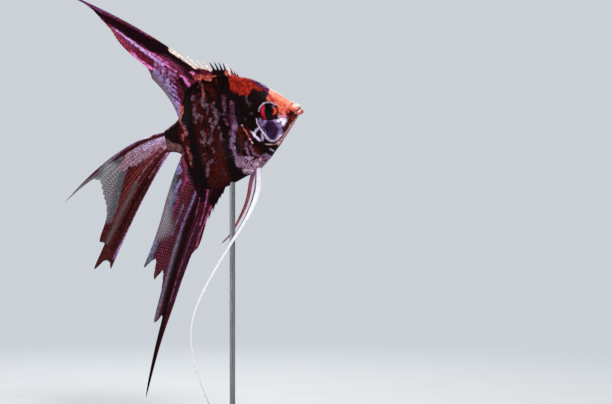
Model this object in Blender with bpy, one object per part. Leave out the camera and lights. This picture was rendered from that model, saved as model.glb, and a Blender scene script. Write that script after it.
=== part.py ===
"""A veil-tailed freshwater angelfish, life size, as a still display model on a plain stand.

For Blender 4.5: blender --background --python part.py. Metres, +Z up.

The fish swims towards +X with its nose a little raised, and its right side faces -Y. The origin is
the middle of the stand's underside. The fish is drawn in its own axes and then placed: s runs back
from the snout along the body, h up from the body's axis and y out to the left. All three are in
millimetres, and every mesh is turned into metres as it is made.
"""

import math

import bmesh
import bpy
import numpy as np

MM = 0.001

# Driving sizes, in millimetres and degrees.
SNOUT = (39.2, 0.0, 172.5)
NOSE_UP = 12.2
BODY_LENGTH = 78.0
GAP = 0.3
STAND_LENGTH, STAND_DEPTH, STAND_HEIGHT = 112.0, 66.0, 8.0
STAND_CORNER, STAND_BEVEL = 12.0, 1.2
ROD_RADIUS, ROD_INTO_BODY, ROD_INTO_STAND = 1.5, 9.0, 5.0
COLLAR_RADIUS, COLLAR_HEIGHT = 4.0, 3.0

# The body's sections: distance behind the snout, back, belly, half width, and how sharp the section
# is at the back and belly, where 1 is an ellipse and more is a lens.
BODY_SECTIONS = (
    (1.5, 2.8, -0.6, 1.3, 0.8),
    (2.6, 4.3, -2.0, 2.2, 0.8),
    (5.8, 7.1, -5.4, 3.7, 0.9),
    (10.4, 11.9, -10.0, 5.2, 1.0),
    (15.5, 16.2, -15.0, 6.3, 1.0),
    (20.0, 20.3, -18.8, 7.0, 1.0),
    (26.0, 24.1, -23.8, 7.6, 1.0),
    (32.0, 26.4, -27.3, 7.9, 1.0),
    (38.0, 27.8, -28.4, 7.8, 1.05),
    (44.0, 28.9, -30.1, 7.2, 1.15),
    (49.0, 29.5, -31.3, 6.6, 1.2),
    (55.0, 28.6, -32.0, 5.7, 1.25),
    (60.0, 26.2, -31.2, 4.9, 1.3),
    (63.5, 21.4, -29.4, 4.3, 1.3),
    (66.5, 14.2, -25.8, 3.7, 1.25),
    (68.5, 11.1, -19.6, 3.3, 1.2),
    (70.5, 9.5, -9.6, 2.9, 1.1),
    (73.5, 8.0, -7.2, 2.4, 1.0),
    (76.0, 6.9, -6.4, 2.0, 1.0),
    (BODY_LENGTH, 6.0, -6.0, 1.5, 1.0),
)
BODY_RINGS, BODY_SIDES = 34, 22
SNOUT_DOME, TAIL_DOME = 0.5, 0.8

# Lips: centre (s, h) and half sizes along, across and up.
UPPER_LIP = ((2.3, 2.8), (1.6, 2.2, 1.3))
LOWER_LIP = ((1.7, -0.5), (1.8, 2.1, 1.3))

# The eye is a flattened ball.
EYE_CENTRE, EYE_OUT = (17.4, 3.1), 4.9
EYE_RADIUS, EYE_HALF_DEPTH = 5.1, 2.5

# Outlines seen from the side, in (s, h).
HEAD_OUTLINE = (
    (-6.0, 34.0), (28.5, 34.0), (30.3, 21.0), (32.2, 10.0), (33.2, 3.0), (32.8, -2.0),
    (31.1, -7.0), (29.3, -11.5), (26.8, -16.2), (24.2, -20.2), (22.4, -24.0), (21.6, -34.0),
    (-6.0, -34.0),
)
JAW_OUTLINE = ((-3.0, 1.1), (4.6, 0.2), (7.6, -3.4), (8.4, -12.0), (-3.0, -12.0))
GILL_COVER_OUTLINE = (
    (26.0, 9.5), (42.0, 9.5), (42.0, -26.0), (24.6, -20.8), (20.6, -16.6), (23.2, -11.0),
    (24.9, -5.0), (25.6, 2.5),
)
TAIL_STALK_FROM = 69.6
GILL_COVER_PROUD, GILL_COVER_DEPTH = 0.35, 1.0
REACH_ACROSS = 14.0

# Fins. root is the line where the rays leave the body, a little inside it. guide gives where the
# full rays would end, and leave and arrive the slopes at which they start and end, in degrees above
# straight back. Each is given at a few rays, counted from 0 at the first to 1 at the last, and runs
# smoothly between. tips are the outline's points, in order: each cuts the ray that passes through
# it. spines are their count, the last one's place and how much of each stands clear of the web,
# and step is the widest gap between the mesh's columns. half_web is half the thickness at the root,
# a third out and at the tip, and sway the sideways wave as (size, waves across the rays, waves
# along them, start).
DORSAL_FIN = {
    "root": ((30.5, 24.3), (36.0, 26.0), (43.5, 27.3), (49.0, 28.0), (55.0, 27.0),
             (59.3, 24.8), (62.0, 20.6), (64.6, 14.4), (66.8, 10.6), (68.4, 9.0)),
    "guide": ((0.0, 44.0, 90.0), (0.12, 58.0, 95.0), (0.25, 90.0, 101.0), (0.36, 114.0, 99.0),
              (0.43, 120.8, 95.3), (0.55, 124.0, 86.0), (0.75, 117.0, 74.5), (1.0, 104.0, 64.0)),
    "leave": ((0.0, 75), (0.11, 87), (0.22, 80), (0.30, 66), (0.43, 56), (0.62, 60),
              (0.80, 70), (1.0, 86)),
    "arrive": ((0.0, 75), (0.2, 62), (0.43, 38), (0.6, 40), (0.8, 42), (1.0, 48)),
    "tips": ((31.6, 28.2), (34.5, 31.8), (36.5, 35.0), (41.0, 36.5), (46.2, 37.6), (49.5, 38.4),
             (53.6, 40.7), (58.0, 43.9), (64.2, 48.5), (120.5, 95.0), (107.4, 84.5),
             (99.9, 74.1), (95.1, 65.6), (86.0, 49.1), (80.2, 42.0), (77.6, 37.0)),
    "spines": (12, 0.388, 0.4),
    "step": 0.07,
    "rows": 9,
    "half_web": (1.0, 0.45, 0.3),
    "sway": (4.0, 0.9, 0.35, 0.1),
}
ANAL_FIN = {
    "root": ((50.0, -29.8), (55.0, -30.3), (60.0, -29.3), (64.3, -26.6), (66.4, -21.5),
             (67.8, -15.5), (70.4, -8.2)),
    "guide": ((0.0, 92.0, -140.0), (0.2, 109.0, -141.0), (0.36, 120.5, -135.5),
              (0.5, 123.0, -118.0), (0.65, 122.0, -101.0), (0.8, 117.0, -83.0),
              (1.0, 103.0, -60.0)),
    "leave": ((0.0, -58), (0.10, -62), (0.24, -63), (0.60, -64), (0.85, -60), (1.0, -52)),
    "arrive": ((0.0, -66), (0.3, -66), (0.5, -58), (0.65, -52), (0.8, -48), (1.0, -50)),
    "tips": ((53.0, -34.8), (55.8, -37.6), (59.0, -41.4), (62.4, -45.2), (66.0, -49.8),
             (72.2, -59.6), (77.2, -63.4), (85.3, -75.4), (92.0, -86.0), (107.0, -109.8),
             (120.2, -134.8), (110.2, -111.0), (101.4, -93.0), (106.6, -95.2), (98.6, -78.6),
             (95.4, -69.0), (101.0, -72.0), (97.4, -62.6), (103.8, -63.2), (84.8, -32.6)),
    "spines": (6, 0.20, 0.2),
    "step": 0.07,
    "rows": 9,
    "half_web": (1.0, 0.45, 0.3),
    "sway": (4.5, 1.1, 0.4, 0.55),
}
CAUDAL_FIN = {
    "root": ((76.4, 5.1), (76.8, 1.7), (76.8, -1.7), (76.4, -5.1)),
    "guide": ((0.0, 141.0, -20.8), (0.15, 146.0, -32.0), (0.4, 146.0, -48.0),
              (0.7, 144.0, -62.0), (0.85, 138.0, -65.0), (1.0, 124.0, -62.5)),
    "leave": ((0.0, 6), (0.5, -22), (1.0, -43)),
    "arrive": ((0.0, -38), (0.15, -40), (0.4, -44), (0.7, -48), (1.0, -57)),
    "tips": ((140.6, -20.6), (123.0, -11.6), (119.0, -14.2), (118.9, -25.5), (120.6, -33.0),
             (128.0, -45.2), (125.4, -46.8), (134.6, -59.9), (126.4, -56.4), (123.5, -61.8)),
    "spines": (0, 0.0, 0.0),
    "step": 0.05,
    "rows": 9,
    "half_web": (1.0, 0.45, 0.3),
    "sway": (5.0, 0.8, 0.45, 0.3),
}
# The pectoral fin is drawn flat, with its root at the origin, and is then set on the body's side.
PECTORAL_FIN = {
    "root": ((-1.2, 2.5), (-1.5, 0.8), (-1.5, -0.8), (-1.2, -2.5)),
    "guide": ((0.0, 9.5, 6.2), (0.18, 15.6, 5.8), (0.42, 18.0, 1.4), (0.7, 14.6, -4.6),
              (1.0, 7.4, -7.2)),
    "leave": ((0.0, 22), (0.5, 2), (1.0, -24)),
    "arrive": ((0.0, 30), (0.5, 0), (1.0, -46)),
    "tips": ((9.5, 6.2), (15.6, 5.8), (18.0, 1.4), (14.6, -4.6), (7.4, -7.2)),
    "spines": (0, 0.0, 0.0),
    "step": 0.15,
    "rows": 6,
    "half_web": (0.6, 0.35, 0.27),
    "sway": (0.9, 0.7, 0.25, 0.4),
}
# The most that a ray's share of its full length may differ between neighbouring columns.
LONGEST_STEP = 0.2
PECTORAL_AT, PECTORAL_OUT = (33.4, -9.6), 6.6
PECTORAL_FLARE, PECTORAL_DROOP = 42.0, 14.0

# Pelvic fins: places along the fin as (s, y, h, half width). The right fin runs out into a long
# white feeler, and the left one is short.
PELVIC_RIGHT = (
    (30.4, -1.8, -25.0, 1.5), (32.2, -3.2, -34.4, 1.9), (35.6, -4.0, -41.8, 1.6),
    (40.4, -4.4, -48.5, 1.25), (44.8, -4.6, -53.6, 1.0), (52.5, -4.9, -61.3, 0.85),
    (59.8, -5.1, -68.9, 0.75), (67.2, -5.2, -76.9, 0.7), (73.9, -5.0, -84.6, 0.62),
    (79.5, -4.7, -92.0, 0.56), (83.9, -4.4, -100.2, 0.52), (86.4, -4.2, -108.9, 0.5),
    (87.2, -4.0, -117.9, 0.48), (86.6, -4.0, -127.2, 0.46), (85.2, -4.0, -136.6, 0.44),
    (82.7, -4.0, -148.2, 0.36),
)
PELVIC_LEFT = (
    (33.6, 1.8, -25.6, 1.1), (37.0, 2.6, -31.6, 1.15), (39.8, 3.1, -38.0, 1.0),
    (43.0, 3.4, -43.6, 0.9), (46.6, 3.8, -48.2, 0.75), (50.6, 4.0, -52.8, 0.6),
    (55.2, 4.2, -57.4, 0.45), (60.4, 4.4, -60.6, 0.3),
)
PELVIC_HALF_THICK, PELVIC_SAMPLES, PELVIC_SIDES = (0.62, 0.34), 30, 6

# Colour, roughness and metallic value of each finish.
FINISHES = {
    "marbled_skin": ((0.10, 0.045, 0.05), 0.38, 0.0),
    "orange_skin": ((0.72, 0.22, 0.08), 0.38, 0.0),
    "gill_cover": ((0.28, 0.16, 0.22), 0.3, 0.1),
    "dark_fin": ((0.16, 0.05, 0.07), 0.45, 0.0),
    "clear_fin": ((0.55, 0.48, 0.60), 0.4, 0.0),
    "white_fin": ((0.88, 0.86, 0.90), 0.4, 0.0),
    "eye": ((0.55, 0.02, 0.03), 0.08, 0.0),
    "stand_board": ((0.13, 0.07, 0.04), 0.4, 0.0),
    "stand_metal": ((0.72, 0.72, 0.74), 0.28, 1.0),
}


# Curves


def smooth(knots, values, at):
    """The values at each place in at, on a curve through (knot, value) that never overshoots."""
    x = np.asarray(knots, float)
    y = np.asarray(values, float).reshape(len(x), -1)
    step = np.diff(x)[:, None]
    slope = np.diff(y, axis=0) / step
    bend = slope[:-1] * slope[1:]
    mean = 2.0 * bend / np.where(bend > 0, slope[:-1] + slope[1:], 1.0)
    gradient = np.vstack([slope[:1], np.where(bend > 0, mean, 0.0), slope[-1:]])
    at = np.clip(np.asarray(at, float), x[0], x[-1])
    i = np.clip(np.searchsorted(x, at, side="right") - 1, 0, len(x) - 2)
    t = ((at - x[i])[:, None]) / step[i]
    ease = t * t * (3.0 - 2.0 * t)
    rise = gradient[i] * t * (1.0 - t) ** 2 - gradient[i + 1] * t * t * (1.0 - t)
    return y[i] * (1.0 - ease) + y[i + 1] * ease + rise * step[i]


def slopes(pairs, at):
    """Unit directions in (s, h) for slopes given in degrees above straight back."""
    knots, degrees = zip(*pairs)
    angle = np.radians(smooth(knots, degrees, at)[:, 0])
    return np.stack([np.cos(angle), np.sin(angle)], axis=1)


# Scene helpers


def clear_scene():
    for thing in list(bpy.data.objects):
        bpy.data.objects.remove(thing)


def new_collection(name):
    made = bpy.data.collections.new(name)
    bpy.context.scene.collection.children.link(made)
    return made


def finish_of(name):
    """The material of that name."""
    found = bpy.data.materials.get(name)
    if found:
        return found
    colour, roughness, metallic = FINISHES[name]
    made = bpy.data.materials.new(name)
    made.use_nodes = True
    shader = made.node_tree.nodes["Principled BSDF"]
    shader.inputs["Base Color"].default_value = (*colour, 1.0)
    shader.inputs["Roughness"].default_value = roughness
    shader.inputs["Metallic"].default_value = metallic
    return made


def mesh_from(name, points_mm, faces):
    """A mesh in metres from points in millimetres, with its faces turned outwards."""
    shape = bmesh.new()
    corners = [shape.verts.new([MM * c for c in point]) for point in points_mm]
    for face in faces:
        shape.faces.new([corners[i] for i in face])
    bmesh.ops.recalc_face_normals(shape, faces=shape.faces)
    return finished(name, shape)


def finished(name, shape):
    """A smooth-shaded mesh from a bmesh, which is freed."""
    mesh = bpy.data.meshes.new(name)
    shape.to_mesh(mesh)
    shape.free()
    mesh.shade_smooth()
    return mesh


def part(name, mesh, finish, carrier=None):
    """A visible sub-part, with its own material."""
    made = bpy.data.objects.new(name, mesh)
    mesh.materials.clear()
    mesh.materials.append(finish_of(finish))
    mesh.set_sharp_from_angle(angle=math.radians(40))
    PARTS.objects.link(made)
    made.parent = carrier
    return made


def cutter(name, mesh, carrier=None):
    """A helper shape that cuts others and is no part of the model."""
    made = bpy.data.objects.new(name, mesh)
    CUTTERS.objects.link(made)
    made.hide_render = True
    made.display_type = "WIRE"
    made.parent = carrier
    return made


def combine(target, other, operation):
    """A Boolean on target: DIFFERENCE takes other away, INTERSECT keeps what is inside it."""
    modifier = target.modifiers.new(f"{operation.lower()}_{other.name}", "BOOLEAN")
    modifier.operation = operation
    modifier.object = other
    modifier.solver = "EXACT"


# Shapes in the fish's axes


def in_fish_axes(s, y, h):
    """A point in the axes of the empty that carries the fish, where +X points to the nose."""
    return (-s, y, h)


def body_mesh(name, grow=0.0):
    """The whole body without its fins, from rings across it. grow moves the skin out or in."""
    table = np.array(BODY_SECTIONS)
    ends = table[0, 0], table[-1, 0]
    spread = np.linspace(0.0, 1.0, BODY_RINGS)
    s = smooth((0.0, 0.3, 0.62, 1.0), (ends[0], 18.0, 56.0, ends[1]), spread)[:, 0]
    back, belly, half_width, sharp = smooth(table[:, 0], table[:, 1:], s).T
    points = [in_fish_axes(s[0] - SNOUT_DOME - grow, 0.0, 0.5 * (back[0] + belly[0]))]
    for i in range(BODY_RINGS):
        middle, reach = 0.5 * (back[i] + belly[i]), 0.5 * (back[i] - belly[i]) + grow
        for k in range(BODY_SIDES):
            turn = 2.0 * math.pi * k / BODY_SIDES
            out = abs(math.cos(turn)) ** sharp[i] * math.copysign(1.0, math.cos(turn))
            y = (half_width[i] + grow) * out
            points.append(in_fish_axes(s[i], y, middle + reach * math.sin(turn)))
    points.append(in_fish_axes(s[-1] + TAIL_DOME + grow, 0.0, 0.5 * (back[-1] + belly[-1])))
    return mesh_from(name, points, tube_faces(BODY_RINGS, BODY_SIDES))


def tube_faces(rings, sides):
    """Faces of a tube whose points are a pole, the rings in turn and a second pole."""
    faces = []
    last = rings * sides + 1
    for k in range(sides):
        after = (k + 1) % sides
        faces.append((0, 1 + after, 1 + k))
        for i in range(rings - 1):
            a, b = 1 + i * sides, 1 + (i + 1) * sides
            faces.append((a + k, a + after, b + after, b + k))
        faces.append((last, last - sides + k, last - sides + after))
    return faces


def grown(outline, by):
    """An outline with each side moved out by that much."""
    points = np.array(outline, float)
    before, after = np.roll(points, 1, axis=0), np.roll(points, -1, axis=0)
    area = np.sum(points[:, 0] * after[:, 1] - after[:, 0] * points[:, 1])
    turn = np.array([[0.0, -1.0], [1.0, 0.0]]) * math.copysign(1.0, area)
    into, out_of = points - before, after - points
    first = into @ turn / np.linalg.norm(into, axis=1)[:, None]
    second = out_of @ turn / np.linalg.norm(out_of, axis=1)[:, None]
    corner = first + second
    corner /= np.sum(corner * first, axis=1)[:, None]
    return points + by * corner


def prism_mesh(name, outline, y_from, y_to):
    """An outline in (s, h), carried across the fish from y_from to y_to."""
    shape = bmesh.new()
    corners = [in_fish_axes(s, y_from, h) for s, h in outline]
    face = shape.faces.new([shape.verts.new([MM * c for c in corner]) for corner in corners])
    made = bmesh.ops.extrude_face_region(shape, geom=[face])["geom"]
    far = [v for v in made if isinstance(v, bmesh.types.BMVert)]
    bmesh.ops.translate(shape, verts=far, vec=(0.0, MM * (y_to - y_from), 0.0))
    bmesh.ops.recalc_face_normals(shape, faces=shape.faces)
    return finished(name, shape)


def ball_mesh(name, centre, half_sizes, grow=0.0):
    """A ball with unlike half sizes along s, y and h, its centre given in the fish's axes."""
    shape = bmesh.new()
    bmesh.ops.create_uvsphere(shape, u_segments=16, v_segments=10, radius=1.0)
    x, y, z = in_fish_axes(*centre)
    for vertex in shape.verts:
        a, b, c = vertex.co
        vertex.co = (
            MM * (x + (half_sizes[0] + grow) * a),
            MM * (y - (half_sizes[1] + grow) * c),
            MM * (z + (half_sizes[2] + grow) * b),
        )
    return finished(name, shape)


def full_rays(fin, along_root, along_ray):
    """Points (s, h) on a fin's full rays: cubic curves from its root to its guide line."""
    root, guide = np.array(fin["root"]), np.array(fin["guide"])
    run = np.concatenate([[0.0], np.cumsum(np.linalg.norm(np.diff(root, axis=0), axis=1))])
    start = smooth(run / run[-1], root, along_root)
    end = smooth(guide[:, 0], guide[:, 1:], along_root)
    handle = np.linalg.norm(end - start, axis=1)[:, None] / 3.0
    first = start + handle * slopes(fin["leave"], along_root)
    second = end - handle * slopes(fin["arrive"], along_root)
    t = along_ray[..., None]
    a, b, c, d = (p[:, None, :] for p in (start, first, second, end))
    return a * (1 - t) ** 3 + 3 * b * t * (1 - t) ** 2 + 3 * c * t * t * (1 - t) + d * t**3


def tip_places(fin):
    """For each tip, the ray that passes through it and how far out along that ray it lies."""
    across, along = np.linspace(0.0, 1.0, 501), np.linspace(0.0, 1.0, 401)
    rays = full_rays(fin, across, np.tile(along, (len(across), 1)))
    places = []
    for n, tip in enumerate(fin["tips"]):
        gap = np.linalg.norm(rays - tip, axis=2)
        if n in (0, len(fin["tips"]) - 1):
            i = -1 if n else 0
            k = np.argmin(gap[i])
        else:
            i, k = np.unravel_index(np.argmin(gap), gap.shape)
        places.append((across[i], along[k]))
    return np.array(places)


def fin_columns(fin, places):
    """The rays that the mesh follows: (place along the root, share of the ray that has web)."""
    count, last, free = fin["spines"]
    columns = [] if count else [(0.0, 1.0)]
    for i in range(count):
        here = last * i / (count - 1)
        columns.append((here, 1.0))
        if i < count - 1:
            columns.append((here + 0.5 * last / (count - 1), 1.0 - free))
    soft = [last] + [u for u in places[:, 0] if u > last]
    reach = smooth(places[:, 0], places[:, 1], soft)[:, 0]
    for here, after, longer in zip(soft, soft[1:], np.abs(np.diff(reach))):
        parts = math.ceil(max((after - here) / fin["step"], longer / LONGEST_STEP))
        columns += [(u, 1.0) for u in np.linspace(here, after, parts + 1)[1:]]
    return np.array(columns)


def fin_sheet(fin, places, along_root, share):
    """Points (s, y, h) of a fin's middle surface, share being how far out along each cut ray."""
    reach = smooth(places[:, 0], places[:, 1], along_root)
    along_ray = share * reach
    flat = full_rays(fin, along_root, along_ray)
    size, across, along, phase = fin["sway"]
    wave = across * along_root[:, None] + along * along_ray + phase
    y = size * along_ray**1.5 * np.sin(2.0 * math.pi * wave)
    return np.stack([flat[..., 0], y, flat[..., 1]], axis=-1)


def fin_mesh(name, fin):
    """A closed thin sheet over a fin's rays."""
    places, rows = tip_places(fin), fin["rows"]
    columns = fin_columns(fin, places)
    share = columns[:, 1:] * np.linspace(0.0, 1.0, rows)[None, :]
    middle = fin_sheet(fin, places, columns[:, 0], share)
    half = smooth((0.0, 0.35, 1.0), fin["half_web"], share.ravel()).reshape(share.shape)
    points = []
    for side in (-1.0, 1.0):
        sheet = middle.copy()
        sheet[..., 1] += side * half
        points += [in_fish_axes(*p) for p in sheet.reshape(-1, 3)]
    count = len(columns)
    step = count * rows
    faces = []
    for i in range(count - 1):
        for k in range(rows - 1):
            a, b = i * rows + k, (i + 1) * rows + k
            faces.append((a, b, b + 1, a + 1))
            faces.append((step + a, step + a + 1, step + b + 1, step + b))
    rim = [i * rows for i in range(count)] + [(count - 1) * rows + k for k in range(1, rows)]
    rim += [i * rows + rows - 1 for i in range(count - 2, -1, -1)] + list(range(rows - 2, 0, -1))
    for a, b in zip(rim, rim[1:] + rim[:1]):
        faces.append((a, step + a, step + b, b))
    return mesh_from(name, points, faces)


def ribbon_mesh(name, places):
    """A closed flattened tube through places (s, y, h, half width), as for a pelvic fin."""
    table = np.array(places)
    run = np.concatenate([[0.0], np.cumsum(np.linalg.norm(np.diff(table[:, :3], axis=0), axis=1))])
    along = np.linspace(0.0, 1.0, PELVIC_SAMPLES)
    path = smooth(run / run[-1], table, along)
    heading = np.gradient(path[:, [0, 2]], axis=0)
    heading /= np.linalg.norm(heading, axis=1)[:, None]
    half_thick = smooth((0.0, 1.0), PELVIC_HALF_THICK, along)[:, 0]
    points = [in_fish_axes(*path[0, :3])]
    for (s, y, h, half_width), (ds, dh), half in zip(path, heading, half_thick):
        for k in range(PELVIC_SIDES):
            turn = 2.0 * math.pi * k / PELVIC_SIDES
            across, out = half_width * math.cos(turn), half * math.sin(turn)
            points.append(in_fish_axes(s - dh * across, y + out, h + ds * across))
    points.append(in_fish_axes(*path[-1, :3]))
    return mesh_from(name, points, tube_faces(PELVIC_SAMPLES, PELVIC_SIDES))


# Sub-parts


def make_body(fish):
    """Head, lower jaw, gill covers, trunk and tail stalk, parted from one body by thin cuts."""
    inside = cutter("inside_gill_covers", body_mesh("inside", -GILL_COVER_DEPTH), fish)
    floor = cutter("floor_of_gill_pockets", body_mesh("floor", -GILL_COVER_DEPTH - GAP), fish)
    across = (-REACH_ACROSS, REACH_ACROSS)
    head_side = cutter("head_side", prism_mesh("head_side", HEAD_OUTLINE, *across), fish)
    beyond_head = prism_mesh("head_cut", grown(HEAD_OUTLINE, GAP), *across)
    head_cut = cutter("head_cut", beyond_head, fish)
    jaw_side = cutter("jaw_side", prism_mesh("jaw_side", JAW_OUTLINE, *across), fish)
    jaw_cut = cutter("jaw_cut", prism_mesh("jaw_cut", grown(JAW_OUTLINE, GAP), *across), fish)
    lips = []
    for name, ((s, h), sizes) in (("upper_lip", UPPER_LIP), ("lower_lip", LOWER_LIP)):
        lips.append(cutter(name, ball_mesh(name, (s, 0.0, h), sizes), fish))

    head = part("head", body_mesh("head"), "orange_skin", fish)
    jaw = part("lower_jaw", body_mesh("lower_jaw"), "orange_skin", fish)
    combine(head, lips[0], "UNION")
    combine(jaw, lips[1], "UNION")
    combine(jaw, jaw_side, "INTERSECT")
    combine(head, jaw_cut, "DIFFERENCE")
    combine(head, head_side, "INTERSECT")
    for name, side in (("right", -1.0), ("left", 1.0)):
        outer = GAP * side, REACH_ACROSS * side
        cover_side = prism_mesh("gill_cover_side", GILL_COVER_OUTLINE, *outer)
        keep = cutter(f"gill_cover_side_{name}", cover_side, fish)
        cover = body_mesh("gill_cover", GILL_COVER_PROUD)
        cover = part(f"gill_cover_{name}", cover, "gill_cover", fish)
        combine(cover, keep, "INTERSECT")
        combine(cover, head_side, "INTERSECT")
        combine(cover, inside, "DIFFERENCE")
        pocket_side = prism_mesh("gill_pocket", grown(GILL_COVER_OUTLINE, GAP), *outer)
        pocket = cutter(f"gill_pocket_{name}", pocket_side, fish)
        combine(pocket, floor, "DIFFERENCE")
        combine(head, pocket, "DIFFERENCE")
        make_eye(fish, head, name, side)

    trunk = part("trunk", body_mesh("trunk"), "marbled_skin", fish)
    combine(trunk, head_cut, "DIFFERENCE")
    stalk = part("tail_stalk", body_mesh("tail_stalk"), "marbled_skin", fish)
    for target, start, end in ((trunk, -6.0, TAIL_STALK_FROM), (stalk, TAIL_STALK_FROM + GAP, 90.0)):
        box = ((start, -40.0), (end, -40.0), (end, 40.0), (start, 40.0))
        side = cutter(f"{target.name}_side", prism_mesh("side", box, *across), fish)
        combine(target, side, "INTERSECT")
    return trunk


def make_eye(fish, head, name, side):
    """One eyeball, and its socket in the head."""
    centre = (EYE_CENTRE[0], side * EYE_OUT, EYE_CENTRE[1])
    sizes = (EYE_RADIUS, EYE_HALF_DEPTH, EYE_RADIUS)
    part(f"eye_{name}", ball_mesh("eye", centre, sizes), "eye", fish)
    socket = cutter(f"eye_socket_{name}", ball_mesh("eye_socket", centre, sizes, GAP), fish)
    combine(head, socket, "DIFFERENCE")


def make_fins(fish):
    """Dorsal, anal and caudal fins on the midline, and the paired pectoral and pelvic fins."""
    clear_of_body = cutter("clear_of_body", body_mesh("clear_of_body", GAP), fish)
    clear_of_covers = body_mesh("clear_of_covers", GILL_COVER_PROUD + GAP)
    clear_of_covers = cutter("clear_of_covers", clear_of_covers, fish)
    for name, fin in (("dorsal_fin", DORSAL_FIN), ("anal_fin", ANAL_FIN), ("caudal_fin", CAUDAL_FIN)):
        combine(part(name, fin_mesh(name, fin), "dark_fin", fish), clear_of_body, "DIFFERENCE")
    for name, side in (("right", -1.0), ("left", 1.0)):
        fin = part(f"pectoral_fin_{name}", fin_mesh("pectoral_fin", PECTORAL_FIN), "clear_fin", fish)
        x, y, z = in_fish_axes(PECTORAL_AT[0], side * PECTORAL_OUT, PECTORAL_AT[1])
        fin.location = (MM * x, MM * y, MM * z)
        flare, droop = math.radians(PECTORAL_FLARE), math.radians(PECTORAL_DROOP)
        fin.rotation_euler = (0.0, -droop, -side * flare)
        combine(fin, clear_of_covers, "DIFFERENCE")
    for name, places, finish in (
        ("pelvic_fin_right", PELVIC_RIGHT, "white_fin"),
        ("pelvic_fin_left", PELVIC_LEFT, "dark_fin"),
    ):
        combine(part(name, ribbon_mesh(name, places), finish, fish), clear_of_body, "DIFFERENCE")


def rod_mesh(name, radius, bottom, top):
    """An upright round bar between two heights, in millimetres."""
    shape = bmesh.new()
    bmesh.ops.create_cone(
        shape, cap_ends=True, segments=24, radius1=MM * radius, radius2=MM * radius,
        depth=MM * (top - bottom),
    )
    bmesh.ops.translate(shape, verts=shape.verts, vec=(0.0, 0.0, 0.5 * MM * (top + bottom)))
    return finished(name, shape)


def belly_height():
    """The height of the belly's lowest line above the stand's foot, straight over the origin."""
    slope = math.radians(NOSE_UP)
    s = np.linspace(40.0, 60.0, 201)
    table = np.array(BODY_SECTIONS)
    h = smooth(table[:, 0], table[:, 2], s)[:, 0]
    x = SNOUT[0] - s * math.cos(slope) - h * math.sin(slope)
    z = SNOUT[2] - s * math.sin(slope) + h * math.cos(slope)
    return float(z[np.argmin(np.abs(x))])


def make_stand(trunk):
    """A flat board with round corners, a collar on it, and one rod up into the belly."""
    shape = bmesh.new()
    bmesh.ops.create_cube(shape, size=1.0)
    bmesh.ops.scale(shape, verts=shape.verts, vec=(
        MM * STAND_LENGTH, MM * STAND_DEPTH, MM * STAND_HEIGHT))
    upright = [e for e in shape.edges if abs(e.verts[0].co.z - e.verts[1].co.z) > 0.5 * MM]
    bmesh.ops.bevel(shape, geom=upright, offset=MM * STAND_CORNER, segments=6, affect="EDGES",
                    profile=0.5)
    top = [e for e in shape.edges if min(v.co.z for v in e.verts) > 0.0]
    bmesh.ops.bevel(shape, geom=top, offset=MM * STAND_BEVEL, segments=2, affect="EDGES",
                    profile=0.5)
    board = part("stand_board", finished("stand_board", shape), "stand_board")
    board.location.z = 0.5 * MM * STAND_HEIGHT

    foot, head = STAND_HEIGHT - ROD_INTO_STAND, belly_height() + ROD_INTO_BODY
    part("stand_rod", rod_mesh("stand_rod", ROD_RADIUS, foot, head), "stand_metal")
    bore = rod_mesh("rod_hole", ROD_RADIUS + GAP, foot - GAP, head + GAP)
    bore = cutter("rod_hole", bore)
    collar_foot = STAND_HEIGHT + GAP
    collar = rod_mesh("stand_collar", COLLAR_RADIUS, collar_foot, collar_foot + COLLAR_HEIGHT)
    collar = part("stand_collar", collar, "stand_metal")
    for target in (board, collar, trunk):
        combine(target, bore, "DIFFERENCE")


clear_scene()
PARTS = new_collection("angelfish_model")
CUTTERS = new_collection("cutters")
FISH = bpy.data.objects.new("fish_axes", None)
PARTS.objects.link(FISH)
FISH.location = tuple(MM * c for c in SNOUT)
FISH.rotation_euler = (0.0, -math.radians(NOSE_UP), 0.0)
make_stand(make_body(FISH))
make_fins(FISH)
bpy.context.view_layer.update()
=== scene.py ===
"""The looks of the veil-tailed angelfish model: one skin, its scales, fine-rayed fins and eyes.

For Blender 4.5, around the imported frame. The fish is drawn in its own axes, as the solids are: s
runs back from the snout along the body, h up from its axis and y out to its left, in millimetres.
Colours are linear, in thousandths. A stroke is a width, then the s and h of each of its places.
"""

import math

import bpy
import numpy as np
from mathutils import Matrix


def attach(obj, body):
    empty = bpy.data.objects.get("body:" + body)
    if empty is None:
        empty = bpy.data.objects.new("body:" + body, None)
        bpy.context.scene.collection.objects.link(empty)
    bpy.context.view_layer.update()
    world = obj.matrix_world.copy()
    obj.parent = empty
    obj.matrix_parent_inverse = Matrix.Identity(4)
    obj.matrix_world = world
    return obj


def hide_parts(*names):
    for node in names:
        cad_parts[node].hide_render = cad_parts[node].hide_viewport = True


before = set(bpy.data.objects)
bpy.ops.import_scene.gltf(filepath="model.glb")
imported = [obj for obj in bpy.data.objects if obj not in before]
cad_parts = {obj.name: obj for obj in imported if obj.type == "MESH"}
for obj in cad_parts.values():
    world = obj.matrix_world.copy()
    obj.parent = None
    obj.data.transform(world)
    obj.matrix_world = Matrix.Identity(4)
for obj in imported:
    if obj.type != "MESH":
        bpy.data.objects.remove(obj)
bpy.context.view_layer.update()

MM = 0.001
TURN = 2 * math.pi
SNOUT = (39.2, 0, 172.5)
NOSE_UP = math.radians(12.2)

# Camera: it looks level across the fish from a little ahead of its right side.
CAMERA_TURN, CAMERA_DISTANCE = math.radians(12), 1.2
CAMERA_TARGET = (0.0409, 0, 0.123)
CAMERA_LENS, SENSOR = 130.7, 36
BACKDROP = (0.6, 0.64, 0.68, 1)
AMBIENT = 0.5
FLOOR_RADIUS, FLOOR_DROP, FLOOR_SIDES = 4, 0.0002, 96

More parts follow.
